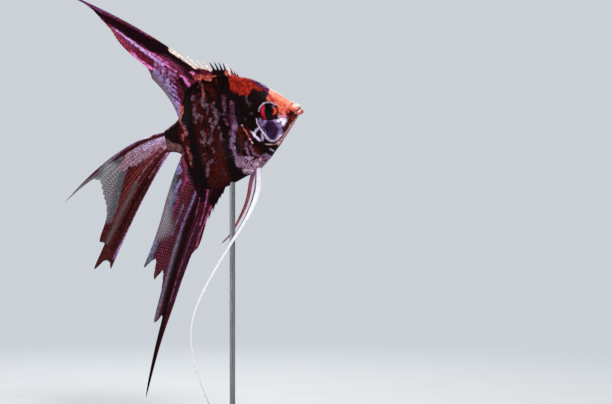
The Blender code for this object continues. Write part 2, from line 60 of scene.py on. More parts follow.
# The body, as in the solids: distance behind the snout, back, belly, half width, sharpness.
BODY_SECTIONS = ((1.5, 2.8, -0.6, 1.3, 0.8), (2.6, 4.3, -2, 2.2, 0.8), (5.8, 7.1, -5.4, 3.7, 0.9),
    (10.4, 11.9, -10, 5.2, 1), (15.5, 16.2, -15, 6.3, 1), (20, 20.3, -18.8, 7, 1),
    (26, 24.1, -23.8, 7.6, 1), (32, 26.4, -27.3, 7.9, 1), (38, 27.8, -28.4, 7.8, 1.05),
    (44, 28.9, -30.1, 7.2, 1.15), (49, 29.5, -31.3, 6.6, 1.2), (55, 28.6, -32, 5.7, 1.25),
    (60, 26.2, -31.2, 4.9, 1.3), (63.5, 21.4, -29.4, 4.3, 1.3), (66.5, 14.2, -25.8, 3.7, 1.25),
    (68.5, 11.1, -19.6, 3.3, 1.2), (70.5, 9.5, -9.6, 2.9, 1.1), (73.5, 8, -7.2, 2.4, 1),
    (76, 6.9, -6.4, 2, 1), (78, 6, -6, 1.5, 1))
UPPER_LIP = ((2.3, 2.8), (1.6, 2.2, 1.3))
LOWER_LIP = ((1.7, -0.5), (1.8, 2.1, 1.3))
EYE_CENTRE, EYE_OUT = (17.4, 3.1), 4.9
EYE_RADIUS, EYE_HALF_DEPTH, EYE_DOME = 5.1, 2.5, 0.12

# The skin's lattice, the hub that the snout is drawn around, and where its parts meet.
SKIN_INSET = 0.22
SNOUT_RINGS, HEAD_RINGS, FLANK_RINGS, CAP_RINGS, HALF_COLUMNS = 64, 104, 112, 6, 144
SECTION_STEPS, HALVINGS = 720, 40
HUB, HUB_REACH = (6, 0, 1), 14
JOIN_S, HEAD_END_S, TAIL_S, TAIL_DOME = 8, 36, 77.9, 0.7
LIP_BLEND = 0.75

# The gill cover's rear edge, from below upwards, as (h, s), how far it stands out, the groove
# behind it, and the line up the nape from there: its first h and s, and how it leans forward.
GILL_EDGE = ((-24, 21.6), (-22.2, 23.6), (-18.2, 26.6), (-13.8, 29.3), (-8.8, 31.5), (-3.5, 33.4),
    (1, 34.1), (6, 33.2), (9.5, 31.2))
GILL_STAND, GILL_GROOVE = 0.34, 0.22
NAPE_H, NAPE_S, NAPE_LEAN = 8, 33, 0.85
PREOPERCLE = ((25.4, 2.8), (25.3, -2.4), (24, -6.1), (22.6, -9.3), (21.6, -12.4), (19.3, -13.9),
    (16.5, -14), (13.6, -12.5))
NOSTRIL, NOSTRIL_RADIUS, NOSTRIL_RIM = (8.9, 4.5), 0.75, 0.08
# Creases in the skin: depth, width and path. The last is a low swelling.
CREASES = ((0.26, 0.45, *PREOPERCLE), (0.18, 0.24, 0.9, 1.6, 1.4, 1.4, 2, 1, 2.6, 0.4, 3.4, -1.4),
    (0.18, 0.35, 4.9, 0.6, 5.9, -1.4, 7.4, -3.6, 8.2, -6.5, 8.8, -8.6),
    (0.13, 0.4, 6.9, -1.9, 5.5, 1.6, 4.5, 3.4, 3.9, 4.6),
    (0.16, 0.35, 9.6, -5.2, 11.5, -8.4, 14, -11.8, 17.5, -14.8),
    (0.12, 0.35, 21.5, -13.2, 24, -15.4, 26.5, -17),
    (0.1, 0.3, 30, -3.5, 28.5, -7, 26, -11, 23.5, -13.5), (0.5, 0.42, *NOSTRIL),
    (-0.25, 1.6, 33, -8.2, 33.6, -11.2))
# How far the skin is pressed in around the eye's centre, by distance from it.
ORBIT = ((0, -3), (4.4, -3), (4.95, -1), (5.25, -0.5), (5.6, -0.12), (5.95, 0.05), (6.5, 0.03),
    (7.4, 0))

# Scales: spacing along and around, length, half width, how far they stand, and how far each keeps
# to the markings at its own middle.
SCALES = (1.9, 0.98, 2.7, 1.06, 0.14, 0.22)
SMALL_SCALES = (1.3, 0.68, 1.8, 0.72, 0.06, 0.12)
SCALE_GRID, SCALE_THICK, SCALE_ROOT = 5, 0.06, 0.07
SCALES_FROM, SCALES_TO, LAST_SCALE, SCALES_ROUND = 10, 77, 76.6, 36
# How much body one side of OFBake holds along and around, and how much of it is a scale's own.
BAKE_LENGTH, BAKE_ROUND, SCALE_PATCH = 80, 74, 0.003
# How far eye and cheek stay bare: around a point just ahead of the eye, and beside the groove.
EYE_BARE, EYE_BARE_AHEAD, GROOVE_BARE = 7.2, 0.8, 1.5

# How wide the edge of a marking is in its values, and that of a clear or spotted area.
EDGE_SPAN, AREA_SPAN = 3, 7


# Curves, as in the solids


def curve(table, at):
    """The values at each place, on a curve through rows of (knot, values) that never overshoots."""
    table = np.array(table, float)
    x, y = table[:, 0], table[:, 1:]
    apart = np.diff(x)[:, None]
    slope = np.diff(y, axis=0) / apart
    bend = slope[:-1] * slope[1:]
    mean = 2 * bend / np.where(bend > 0, slope[:-1] + slope[1:], 1)
    gradient = np.vstack([slope[:1], np.where(bend > 0, mean, 0), slope[-1:]])
    at = np.clip(np.asarray(at, float), x[0], x[-1])
    i = np.clip(np.searchsorted(x, at, side="right") - 1, 0, len(x) - 2)
    t = ((at - x[i])[:, None]) / apart[i]
    ease = t * t * (3 - 2 * t)
    rise = gradient[i] * t * (1 - t) ** 2 - gradient[i + 1] * t * t * (1 - t)
    return y[i] * (1 - ease) + y[i + 1] * ease + rise * apart[i]


def curve_over(table, at):
    """The one value that a curve has at each of an array of places."""
    return curve(table, np.ravel(at))[:, 0].reshape(np.shape(at))


def slopes(table, at):
    """Unit directions in (s, h) for slopes given in degrees above straight back."""
    angle = np.radians(curve_over(table, at))
    return np.stack([np.cos(angle), np.sin(angle)], axis=1)


def step(low, high, value):
    """0 below low and 1 above high, with a smooth rise between."""
    t = np.clip((np.asarray(value, float) - low) / (high - low), 0, 1)
    return t * t * (3 - 2 * t)


def bell(value, width):
    """1 where the value is 0, falling away over the width."""
    return np.exp(-((value / width) ** 2))


def run_along(points):
    """How far along its line each point lies, for lines of points on the last axis but one."""
    steps = np.diff(points, axis=-2, prepend=points[..., :1, :])
    return np.cumsum(np.linalg.norm(steps, axis=-1), axis=-1)


def distance_to(path, s, h):
    """How far each (s, h) is from the line through the path's places."""
    path = np.reshape(path, (-1, 2))
    best = np.hypot(s - path[0, 0], h - path[0, 1])
    for (s0, h0), (s1, h1) in zip(path, path[1:]):
        ds, dh = s1 - s0, h1 - h0
        t = np.clip(((s - s0) * ds + (h - h0) * dh) / (ds * ds + dh * dh), 0, 1)
        best = np.minimum(best, np.hypot(s - s0 - t * ds, h - h0 - t * dh))
    return best


def arc(centre, radius, start, end, count=9):
    """Places on part of a circle in (s, h), its angles in degrees from straight back."""
    turns = np.radians(np.linspace(start, end, count))
    return np.stack([np.cos(turns), np.sin(turns)], axis=1) * radius + centre


def rungs(width, half, lean, *places):
    """Short parallel strokes of one width across the places, leaning by lean from straight up."""
    ds, dh = half * math.sin(math.radians(lean)), half * math.cos(math.radians(lean))
    return [(width, s - ds, h - dh, s + ds, h + dh) for s, h in np.reshape(places, (-1, 2))]


def mark(strokes, s, h, span=EDGE_SPAN):
    """1 inside the strokes and 0 outside, passing 0.5 on their edges."""
    value = np.zeros(s.shape)
    for width, *path in strokes:
        value = np.maximum(value, 0.5 + (0.5 * width - distance_to(path, s, h)) / span)
    return np.clip(value, 0, 1)


def mark_values(layers, s, h):
    """The value of each layer of markings, by its name."""
    return {name: mark(strokes, s, h) for name, _, _, _, _, *strokes in layers}


# Markings. Each layer is its name, two colours that it varies between, how much its edge wanders,
# how soft the edge is, and its strokes, laid from the bottom up.


BODY_BASE = ((1.4, 0.3, 0.4), (9, 0.6, 0.6))
BODY_MARKS = (
    ("maroon", (12, 0.5, 0.5), (42, 1.8, 1.4), 1.1, 0.35, (12, 53.5, 16, 54, -27),
     (7, 47.5, -2, 49.5, -28), (5, 68, 4, 66, -14), (5, 60, 20, 59.5, 8), (3, 47.5, 24, 45.6, 17)),
    ("brown", (18, 1, 0.8), (60, 4.2, 3), 1.2, 0.22, (4.4, 49, -10, 50.6, -19, 51.5, -27),
     (3.6, 33.6, -3, 35.2, -8, 35, -12.5), (4.6, 31.6, -13.4, 29.6, -16.6, 28.3, -20),
     (1.2, 43.1, 27, 42.9, 24), (1.4, 46, 22, 44.8, 18), (1.4, 48.8, 24.6, 48, 20),
     (1.8, 55.8, 18, 55, 12), (2, 53.2, 2, 53.8, -4), (2.2, 54.8, -10, 55.4, -15),
     (3, 29, -2.5, 31, -9), (2.6, 66, -7, 65.2, -11, 65.8, -15.5)),
    ("belly", (80, 22, 50), (380, 200, 310), 1.6, 0.16, (6, 38.4, -20, 34.5, -21),
     (5.6, 33, -23.5, 24.5, -22.5), (4.4, 36.6, -25, 32, -26.6), (1.8, 24, -20.4, 22, -19.6)),
    ("cherry", (30, 2, 3), (90, 10, 12), 0.9, 0.14, (2.6, 35.2, -20.6), (1.3, 30.2, -25.1),
     (1.6, 31.2, -21), (1.3, 27.4, -23.4), (1.1, 36.6, -23), (1, 25.4, -22.2), (1, 33.2, -23.4),
     (1.4, 38, -18, 37.2, -15.4)),
    ("nacre", (400, 240, 310), (720, 540, 600), 0.9, 0.12, (1.3, 36.8, -24.9, 33.9, -25.8),
     (1.1, 30.2, -26.9, 25.2, -24.4, 22.2, -21.6), (0.6, 31.6, -23, 29.4, -23.4),
     (0.6, 33.8, -18.4, 32.2, -19.4, 31, -19.2), (0.5, 28.8, -21.6, 27.2, -21.2)),
    ("crown", (110, 4, 3), (400, 20, 9), 1.2, 0.2, (7.6, 32, 23, 31, 20, 28, 18.4),
     (5, 34.6, 25.6, 33.6, 20.6), (4.4, 27, 21, 24.6, 19.2), (3, 24.6, 20.2, 21.4, 17.4, 18.2, 15),
     (1.6, 26.6, 16, 27, 13.6)),
    ("flush", (340, 20, 18), (580, 45, 50), 0.8, 0.25, (2.2, 33, 26.4, 27, 23.9, 23.5, 22.6)),
    ("salmon", (600, 85, 45), (840, 190, 110), 0.6, 0.3, (7.5, 13.4, 10.8, 9, 5),
     (6, 11.7, 6.3, 8.4, 1.6), (3, 15.8, 13.2, 13, 9), (3.5, 7, 4, 4.4, 2.2)),
    ("ginger", (340, 20, 18), (560, 50, 45), 0.8, 0.25, (1.8, 16, 13.4, 14.6, 9.8, 13.8, 7.8)),
    ("lips", (620, 130, 100), (860, 340, 280), 0.4, 0.25, (2.8, 1, -0.6, 2.8, -1.4),
     (2.4, 1.2, 2.4, 3.4, 2)),
    ("peach", (820, 260, 160), (950, 420, 300), 0.6, 0.34, (2, 15.2, 13.6, 10.2, 9, 6, 5.2),
     (1.2, 4.6, 3.2, 2.8, 2.6)),
    # A painted highlight along the forehead's top edge and on the top of the lower lip; on the
    # upper lip it is the lip's own cream under a painted highlight.
    ("cream", (900, 580, 500), (980, 900, 860), 0.4, 0.2,
     (1.5, 16.9, 16.9, 13.2, 14.2, 9, 10.7, 5.4, 7, 2.6, 4.3), (1.5, 3.6, 3.6, 2, 3.4, 1, 2.8),
     (0.8, 1.2, 0.2, 2.4, -0.4)),
    ("jaw", (16, 1.2, 1.4), (70, 6, 6), 0.7, 0.14, (3.8, 6.8, 0, 6.4, -3),
     (5, 6.4, -3.4, 8.4, -6.4, 10.8, -9), (3.8, 10.6, -9, 14.2, -12.4),
     (2.6, 4.4, -2.4, 5.6, -4.6)),
    ("orange", (150, 12, 10), (300, 40, 30), 0.4, 0.05, (0.3, 5.9, -1.6, 6.4, -4.2),
     (0.26, 7.6, -4.8, 8.9, -7.6), (0.26, 4.9, -2.4, 5.6, -4), (0.24, 10.4, -8.8, 11.8, -10.4),
     (0.3, 7.6, -1.8, 8.2, -3.2)),
    ("red", (400, 22, 20), (660, 90, 80), 0.6, 0.16, (0.9, 8.2, 2.8, 7.5, 1.4),
     (0.8, 6.2, 2.6, 5.9, 1.4), (0.8, 7.4, 0.4, 6.8, 0.9), (1.3, -0.3, -0.2, 0.6, -1.2),
     (0.6, 4.6, 1.8, 3.8, 0.6)),
    ("seam", (40, 3, 4), (100, 10, 12), 0.1, 0.05,
     (0.34, 0.4, 1.7, 1.2, 1.5, 2, 1, 2.6, 0.4, 3.4, -1.4)),
    ("rose", (340, 150, 150), (660, 380, 380), 0.4, 0.1,
     (0.8, 2.8, -2.4, 4.2, -3.6, 8.6, -7.3, 13.3, -12.1, 15, -13.4, 17, -15.3),
     (0.5, 23, -13.6, 20.8, -14.4, 18.2, -14.8, 15.8, -14)),
    ("black", (1, 0.3, 0.4), (4.5, 0.6, 0.8), 1.2, 0.1, (6.5, 31.2, 11, 31.6, 6.5),
     (4.6, 24.8, 12.6, 21.4, 12.4, 18.6, 12.6), (3.4, 19.5, 11.6, 17.6, 12.8),
     (4, 27.2, 8, 24.8, 4), (5, 28, 3, 27.6, -2.5), (3.8, 23.4, -16.6, 18.2, -17.8),
     (3, 20.2, -19.2, 23.4, -18.8), (6, 40.2, 34, 38.7, 27, 38.6, 22, 39, 19.6),
     (2.6, 42.4, 14, 42.8, 6, 43.3, 0), (3.6, 43.4, -3, 43.9, -12.7, 43.9, -20.6, 44.4, -31),
     (3.6, 59.4, 27.3, 60.6, 18.1, 62, 7.3, 62.4, -0.6),
     (4.8, 62.6, -6.5, 62.7, -16.4, 62.2, -22.5, 61.4, -30), (2.4, 59.8, 27.8, 60.4, 24),
     (2.2, 54.2, 28.2, 54.6, 23.8), (1.6, 48.3, 16.9, 47.7, 15.2), (1.9, 53, 13.2, 52.2, 11.4),
     (2.4, 47.6, 30.4, 46.9, 26), (3, 71.5, 8, 76.5, 3.4), (2.2, 71.5, 1.4, 74, 2.2),
     (1.6, 50, 22, 48.6, 19.4), (1.8, 54.8, 6, 53.4, 2.6), (1.6, 51, -1, 50.4, 2),
     (1.4, 55, -8.6, 54.6, -13)),
    ("violet", (40, 6, 36), (120, 20, 100), 0.6, 0.14, (1.3, 22.9, 21.6, 21.2, 20.3),
     (1.5, 20.9, 18.7, 18.4, 17.2, 16, 15, 16.6, 13.2)),
    ("haze", (130, 65, 170), (300, 200, 420), 0.6, 0.3, (8.4, 18.2, -4.4, 17.9, -9.2),
     (1.8, 22.8, -0.6, 21.6, -5.6), (2, 13.6, -4.6, 13.4, -10), (1.4, 20.4, -11, 16.4, -11.4)),
    ("plum", (6, 1.4, 9), (36, 10, 52), 0.5, 0.24, (7, 18.2, -5.4, 17.8, -7.4),
     (4.8, 17.6, -8.4, 18.4, -9.8), (1.2, 21.8, -4.6, 21.6, -7.4)),
    # A painted highlight: the pale pink-lilac band across the cheek under the eye.
    ("blush", (440, 120, 190), (660, 270, 360), 0.5, 0.22, (1.8, 12.2, -0.8, 9.6, -1.4),
     (1, 12.6, 0.4, 12.4, -0.2)),
    ("lilac", (220, 140, 280), (500, 380, 600), 0.6, 0.12,
     (0.8, 24.4, -1.8, 23.9, -4.4, 22.6, -7.4, 21.3, -10.6, 20, -12.4, 18.4, -13, 16.3, -12.3,
      13.7, -10.6), (1.4, 22.2, -8.4, 21.2, -11), (1.3, 16, -12, 13.7, -10.2),
     (1.4, 25, -4.8, 27.2, -6.4, 27.4, -8, 25.4, -11), (0.6, 28.8, -5.6, 27.4, -7.4),
     (1.2, 23.4, -8.2, 23.8, -11.2), (1.8, 14.4, -2.9, 11.6, -2.7, 9.8, -3.2),
     (1.5, 9.8, -4, 12, -6), (0.7, 24.4, 23.6, 20.4, 20.4, 17.2, 17.2),
     (0.7, 21.4, -16.6, 20.3, -17.8), (0.6, 23.7, -19.4, 22.6, -20.1),
     (0.3, 33.3, -13, 33.4, -15.7, 33.2, -18.1),
     (0.4, 35.7, -1, 37.9, -6.1, 39.5, -10.8, 39.2, -14.4)),
    # Painted highlights along the ridge of the gill cover's front edge, in a band under the eye and
    # in an arc over the top of the orbit; the strokes at s 24 to 28 are the white cores of the
    # lilac loop on the gill cover.
    ("white", (660, 540, 720), (950, 880, 970), 0.3, 0.08,
     (0.3, 24.5, 0.6, 24.6, -2, 24, -4.4, 22.7, -7.2, 21.4, -10.4, 20.1, -12.3, 18.5, -13),
     (0.6, 21.9, -8.6, 21.2, -10.8), (0.5, 16.4, -12.3, 13.9, -10.7), (0.4, 18.5, -13, 16.4, -12.3),
     (0.9, 27.9, -6.6, 26.8, -8.8), (0.6, 26.8, -8.8, 25.2, -11.3), (0.4, 24.2, -4.5, 26.4, -5.6),
     (1.5, 13.4, -2.8, 11.9, -2.5, 10.1, -2.9), (1.5, 10.2, -3.4, 11.2, -4.8),
     (1.2, 11.4, -3.2, 11.2, -4.2), (0.36, *arc(EYE_CENTRE, 5.3, 12, 152))),
    ("shoulder", (50, 12, 32), (150, 42, 85), 1.9, 0.22, (1.7, 40.1, 16.6, 40.5, 13),
     (1.3, 40.6, 11, 41.4, 6.7), (1.1, 41.5, 4.2, 41, 0.9),
     (1.4, 35.8, 12.4, 36.4, 8.7, 36.3, 5.5, 37.2, 3.3), (1.8, 38.2, 5, 38.6, -1.2, 39.7, -4.5),
     (1.6, 37, 4, 36.2, 0.7, 37.5, -3.6)),
    ("band", (110, 42, 100), (250, 130, 250), 1.3, 0.22,
     (1.9, 36.6, 0.4, 38.6, -4.5, 40.3, -8.7, 40.9, -11.8, 40.1, -15.5, 38.8, -18.9, 38, -22.6),
     (0.7, 33, -10.2, 33.4, -14.2, 32.8, -18.6, 30.6, -21.2),
     (0.6, 30.8, -13, 30.4, -17.2, 27.4, -19.6, 24.4, -19)),
    ("mauve", (45, 16, 26), (150, 75, 110), 1.8, 0.18, (1.1, 57.3, 22.9, 58.1, 19.1),
     (1.5, 57.8, 15.8, 58.2, 12, 57.9, 8.7, 58.5, 6.9), (1.6, 57.2, 10.1, 56, 9.8),
     (2.8, 51.6, 17.8, 52.4, 16.2, 51.8, 14.3), (1, 50.3, 12.6, 50.6, 9.1),
     (1.6, 46.7, 14.4, 46.8, 11.8), (2.6, 46.3, 10.1, 46, 6.8, 46.5, 3.8),
     (0.9, 45.7, 3.6, 46.1, 0.7), (1.3, 50.3, 5.6, 47.9, 6.5), (1.7, 49.1, 3, 49.6, 0.3),
     (1.9, 55.5, 0, 55.2, -2.6, 55.6, -4.7), (0.9, 57.8, -4, 56.3, -5.9),
     (1.4, 53.3, -4.4, 52.4, -7.4), (0.9, 50.9, -2.2, 52, -4.9), (1, 45.6, -3.6, 45.9, -6.9),
     (1.2, 57.9, -12.1, 57.9, -14.1), (0.9, 53.8, -16, 53, -17), (0.9, 56.1, -17.1, 54.4, -15.9),
     (1.5, 57.1, -17.3, 57.8, -19.5, 58.6, -23.1), (0.8, 52.1, -9, 52.2, -11.4),
     (0.7, 48.6, -22, 49, -25), (0.8, 54.8, 9, 55.2, 5.6)),
    ("speck", (36, 20, 30), (75, 45, 66), 0.8, 0.2, (1.2, 26.4, 9.2), (1.2, 26.4, 3.9),
     (0.9, 27.7, 13.4, 27.8, 10.3), (0.8, 30.4, 1.6)),
    ("pink", (140, 21, 28), (330, 85, 105), 1.1, 0.18,
     (1.3, 52.6, 29.6, 51.5, 26, 51, 22.7, 51.3, 20),
     (1.7, 68.4, 10.3, 67.3, 8, 65.6, 4.8, 65.4, 1.6), (1.4, 67.3, 1.3, 68, -1.2),
     (1.3, 66.4, -5.5, 65.6, -11.1, 66.2, -15), (1.2, 69.6, -8, 70.8, -12)),
    ("stalk", (85, 32, 36), (190, 80, 88), 0.8, 0.2, (4.4, 78.5, -0.6, 75.5, -3.4, 71.4, -5.4),
     (1.2, 70, 9, 76.5, 6.2)),
    ("amber", (320, 55, 40), (540, 150, 110), 0.8, 0.12,
     (0.6, 32.8, -1.2, 31.8, -4.2, 30.7, -6.8, 30.2, -9.3), (1.5, 64.8, 16.6, 65.6, 13.6, 67.6, 11),
     (2.2, 55, 31.4, 45.5, 29.2), (1.1, 49.5, 28.6, 46.5, 27)),
    # Painted highlights: pale dots on the amber line along the gill cover's edge.
    ("pearl", (460, 240, 300), (780, 560, 640), 0.2, 0.1, (0.8, 32.8, -1.2), (0.9, 30.2, -9.3),
     (0.6, 29.8, -10.6, 29.4, -11.9)),
)


# Scene helpers


def new_object(name, data):
    """An object in the scene."""
    made = bpy.data.objects.new(name, data)
    bpy.context.scene.collection.objects.link(made)
    return made


def to_world(points):
    """Points (s, y, h) in the fish's axes, in millimetres, as (x, y, z) in the frame, in metres."""
    s, y, h = points[..., 0], points[..., 1], points[..., 2]
    along, up = math.cos(NOSE_UP), math.sin(NOSE_UP)
    x = SNOUT[0] - s * along - h * up
    z = SNOUT[2] - s * up + h * along
    return MM * np.stack([x, SNOUT[1] + y, z], axis=-1)


def make_piece(name, points, faces, material, replaces, values, corner_uv=None):
    """A closed smooth piece that rides on the fish. Points are in the fish's axes."""
    places = to_world(points).reshape(-1, 3)
    corners = places[np.array([face[:3] for face in faces])]
    if np.linalg.det(corners - places.mean(axis=0)).sum() < 0:
        faces = [face[::-1] for face in faces]
        if corner_uv is not None:
            corner_uv = [uv[::-1] for uv in corner_uv]
    mesh = bpy.data.meshes.new(name)
    mesh.from_pydata(places.tolist(), [], faces)
    mesh.shade_smooth()
    for key, value in values.items():
        layer = mesh.attributes.new(key, "FLOAT", "POINT")
        layer.data.foreach_set("value", np.asarray(value, np.float32).ravel())
    if corner_uv is not None:
        layer = mesh.uv_layers.new(name="OFBake")
        flat = np.concatenate([np.asarray(uv, np.float32).ravel() for uv in corner_uv])
        layer.data.foreach_set("uv", flat)
    mesh.materials.append(material)
    mesh.update()
    made = new_object(name, mesh)
    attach(made, "root")
    if replaces:
        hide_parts(*replaces)
    return made


def tube_faces(rings, sides):
    """Faces of a closed tube of rings: quads, then fans at its first vertex and at its last."""
    ring = 1 + np.arange(rings * sides).reshape(rings, sides)
    after = np.roll(ring, -1, axis=1)
    quads = np.stack([ring[:-1], ring[1:], after[1:], after[:-1]], axis=-1).reshape(-1, 4).tolist()
    last = 1 + rings * sides
    return (quads + [(0, a, b) for a, b in zip(ring[0].tolist(), after[0].tolist())]
            + [(last, b, a) for a, b in zip(ring[-1].tolist(), after[-1].tolist())])


def plate_faces(grid):
    """Faces of a closed thin plate: the grid's vertices, as many again behind them, and an edge."""
    near = np.stack([grid[:-1, :-1], grid[:-1, 1:], grid[1:, 1:], grid[1:, :-1]], axis=-1)
    near = near.reshape(-1, 4)
    rim = np.concatenate([grid[0], grid[1:, -1], grid[-1, -2::-1], grid[-2:0:-1, 0]])
    after = np.roll(rim, -1)
    edge = np.stack([rim, rim + grid.size, after + grid.size, after], axis=1)
    return np.concatenate([near, near[:, [0, 3, 2, 1]] + grid.size, edge])


# Material helpers


def plug(node, inputs):
    """Sets a node's inputs, or links them to wires."""
    for key, value in inputs.items():
        if isinstance(value, Wire):
            node.id_data.links.new(value.output, node.inputs[key])
        else:
            node.inputs[key].default_value = value


class Wire:
    """What a new node gives out. Each sum with a wire is done by a node too."""

    def __init__(self, tree, kind, inputs=None, output=0, **settings):
        node = tree.nodes.new("ShaderNode" + kind)
        for key, value in settings.items():
            setattr(node, key, value)
        plug(node, inputs or {})
        self.tree, self.output = tree, node.outputs[output]

    def maths(self, operation, *others):
        """The value after an operation, with the others that this takes."""
        return Wire(self.tree, "Math", dict(enumerate((self, *others))), operation=operation)

    def __add__(self, other):
        return self.maths("ADD", other)

    def __sub__(self, other):
        return self.maths("SUBTRACT", other)

    def __mul__(self, other):
        return self.maths("MULTIPLY", other)

    def sine(self):
        return self.maths("SINE")

    def ranged(self, low, high, to_low=0, to_high=1, kind="SMOOTHSTEP"):
        """The value moved from one range to another, and held within it."""
        ends = {"From Min": low, "From Max": high, "To Min": to_low, "To Max": to_high}
        return Wire(self.tree, "MapRange", {"Value": self, **ends}, interpolation_type=kind)

    def scaled(self, factor):
        """A colour times a factor."""
        return Wire(self.tree, "VectorMath", {0: self, "Scale": factor}, operation="SCALE")

    def tinted(self, factor, more):
        """A colour times a factor, and a little of another colour."""
        more = [part / 1000 for part in more]
        return Wire(self.tree, "VectorMath", {0: self.scaled(factor), 1: more}, operation="ADD")


def blend(factor, *colours):
    """A colour between two, by a factor."""
    low, high = (colour if isinstance(colour, Wire) else (*(part / 1000 for part in colour), 1)
                 for colour in colours)
    return Wire(factor.tree, "Mix", {0: factor, 6: low, 7: high}, 2, data_type="RGBA")


def object_place(tree):
    """Where a point is in the piece's own space."""
    return Wire(tree, "TexCoord", output="Object")


def noise(tree, size, detail=3, roughness=0.55, stretch=(1, 1, 1)):
    """Noise with features of about that size, in millimetres, in the piece's own space."""
    place = Wire(tree, "Mapping", {0: object_place(tree), "Scale": stretch})
    return Wire(tree, "TexNoise", {"Vector": place, "Scale": 1000 / size, "Detail": detail,
                                   "Roughness": roughness})


def attribute(tree, name):
    """A value that the mesh carries at each vertex."""
    return Wire(tree, "Attribute", output="Fac", attribute_name=name)


def bump(height, depth, strength=0.5):
    """A normal that follows a height, its depth in millimetres."""
    inputs = {"Height": height, "Distance": MM * depth, "Strength": strength}
    return Wire(height.tree, "Bump", inputs)


def new_material(name):
    """A material and its node tree."""
    made = bpy.data.materials.new(name)
    made.use_nodes = True
    return made, made.node_tree


def finished(made, **inputs):
    """The material with its shader's inputs given, by their names with _ for each space."""
    plug(made.node_tree.nodes["Principled BSDF"],
         {key.replace("_", " "): value for key, value in inputs.items()})
    return made


def marked_colour(base, layers, wander, tone):
    """The base colour with each layer of markings laid over it."""
    colour = blend(tone.ranged(0.35, 0.65), *base)
    for name, low, high, breakup, soft, *_ in layers:
        value = wander.maths("MULTIPLY_ADD", breakup, attribute(tone.tree, name))
        middle = 0.5 + 0.5 * breakup
        inside = value.ranged(middle - soft, middle + soft)
        colour = blend(inside, colour, blend(tone.ranged(0.38, 0.62), low, high))
    return colour


# Body


def half_rings(s):
    """For each s, points (s, y, h) evenly spaced round the left half from belly to back, the half's
    length, and the share of it that lies below the section's middle."""
    back, belly, half_width, sharp = curve(BODY_SECTIONS, s).T
    turn = np.radians(np.linspace(-90, 90, SECTION_STEPS + 1))
    y = (half_width - SKIN_INSET)[:, None] * np.abs(np.cos(turn)) ** sharp[:, None]
    y[:, [0, -1]] = 0
    reach = 0.5 * (back - belly) - SKIN_INSET
    h = (0.5 * (back + belly))[:, None] + reach[:, None] * np.sin(turn)
    run = run_along(np.stack([y, h], axis=-1))
    rings = []
    for i, place in enumerate(s):
        even = np.linspace(0, run[i, -1], HALF_COLUMNS + 1)
        rings.append([np.full_like(even, place), np.interp(even, run[i], y[i]),
                      np.interp(even, run[i], h[i])])
    return np.swapaxes(rings, 1, 2), run[:, -1], run[:, SECTION_STEPS // 2] / run[:, -1]


def beyond_body(points):
    """Over 1 where a point of the head is outside the body, and under 1 inside it."""
    s, y, h = points.reshape(-1, 3).T
    back, belly, half_width, sharp = curve(BODY_SECTIONS, s).T
    ahead = np.clip((BODY_SECTIONS[0][0] - s) / 0.5, 0, 1)
    shrink = np.sqrt(1 - ahead**2) + 1e-6
    reach = (0.5 * (back - belly) - SKIN_INSET) * shrink
    across = np.abs(y) / ((half_width - SKIN_INSET) * shrink)
    value = across ** (2 / sharp) + ((h - 0.5 * (back + belly)) / reach) ** 2
    return value.reshape(points.shape[:-1])


def lip_distance(directions, lip):
    """How far along each direction from the hub a lip's surface lies, or 0 where it is missed."""
    (s, h), sizes = lip
    sizes = np.array(sizes) - 0.5 * SKIN_INSET
    offset = (np.array(HUB) - (s, 0, h)) / sizes
    d = directions / sizes
    a, b, c = (d * d).sum(-1), (d * offset).sum(-1), (offset * offset).sum() - 1
    inner = b * b - a * c
    return np.where(inner > 0, (-b + np.sqrt(np.maximum(inner, 0))) / a, 0)


def snout_rings(join):
    """Rings over the snout and lips, from the tip back to the ring where the body takes over."""
    toward = join - HUB
    toward /= np.linalg.norm(toward, axis=1)[:, None]
    forward = np.array([-1, 0, 0])
    angle = np.arccos(np.clip(toward @ forward, -1, 1))[None, :, None]
    f = np.linspace(0, 1, SNOUT_RINGS + 1)[:-1, None, None]
    directions = (np.sin((1 - f) * angle) * forward + np.sin(f * angle) * toward) / np.sin(angle)
    low, high = np.zeros(directions.shape[:2]), np.full(directions.shape[:2], HUB_REACH)
    for _ in range(HALVINGS):
        middle = 0.5 * (low + high)
        outside = beyond_body(HUB + middle[..., None] * directions) > 1
        low, high = np.where(outside, low, middle), np.where(outside, middle, high)
    reaches = [low] + [lip_distance(directions, lip) for lip in (UPPER_LIP, LOWER_LIP)]
    reach = LIP_BLEND * np.log(sum(np.exp((r - low) / LIP_BLEND) for r in reaches)) + low
    return HUB + reach[..., None] * directions


def relief(s, h):
    """How far the skin stands out, in millimetres, at each place on a side of the body."""
    ahead = curve_over(GILL_EDGE, h) - s
    on_cover = step(-24, -20, h) * (1 - step(6, 9.5, h))
    out = GILL_STAND * step(-0.1, 0.3, ahead) * (1 - 0.75 * step(1, 8, ahead)) * on_cover
    out -= GILL_GROOVE * bell(ahead + 0.5, 0.4) * on_cover
    for depth, width, *path in CREASES:
        out -= depth * bell(distance_to(path, s, h), width)
    out += NOSTRIL_RIM * bell(distance_to(NOSTRIL, s, h) - NOSTRIL_RADIUS, 0.25)
    return out + curve_over(ORBIT, distance_to(EYE_CENTRE, s, h))


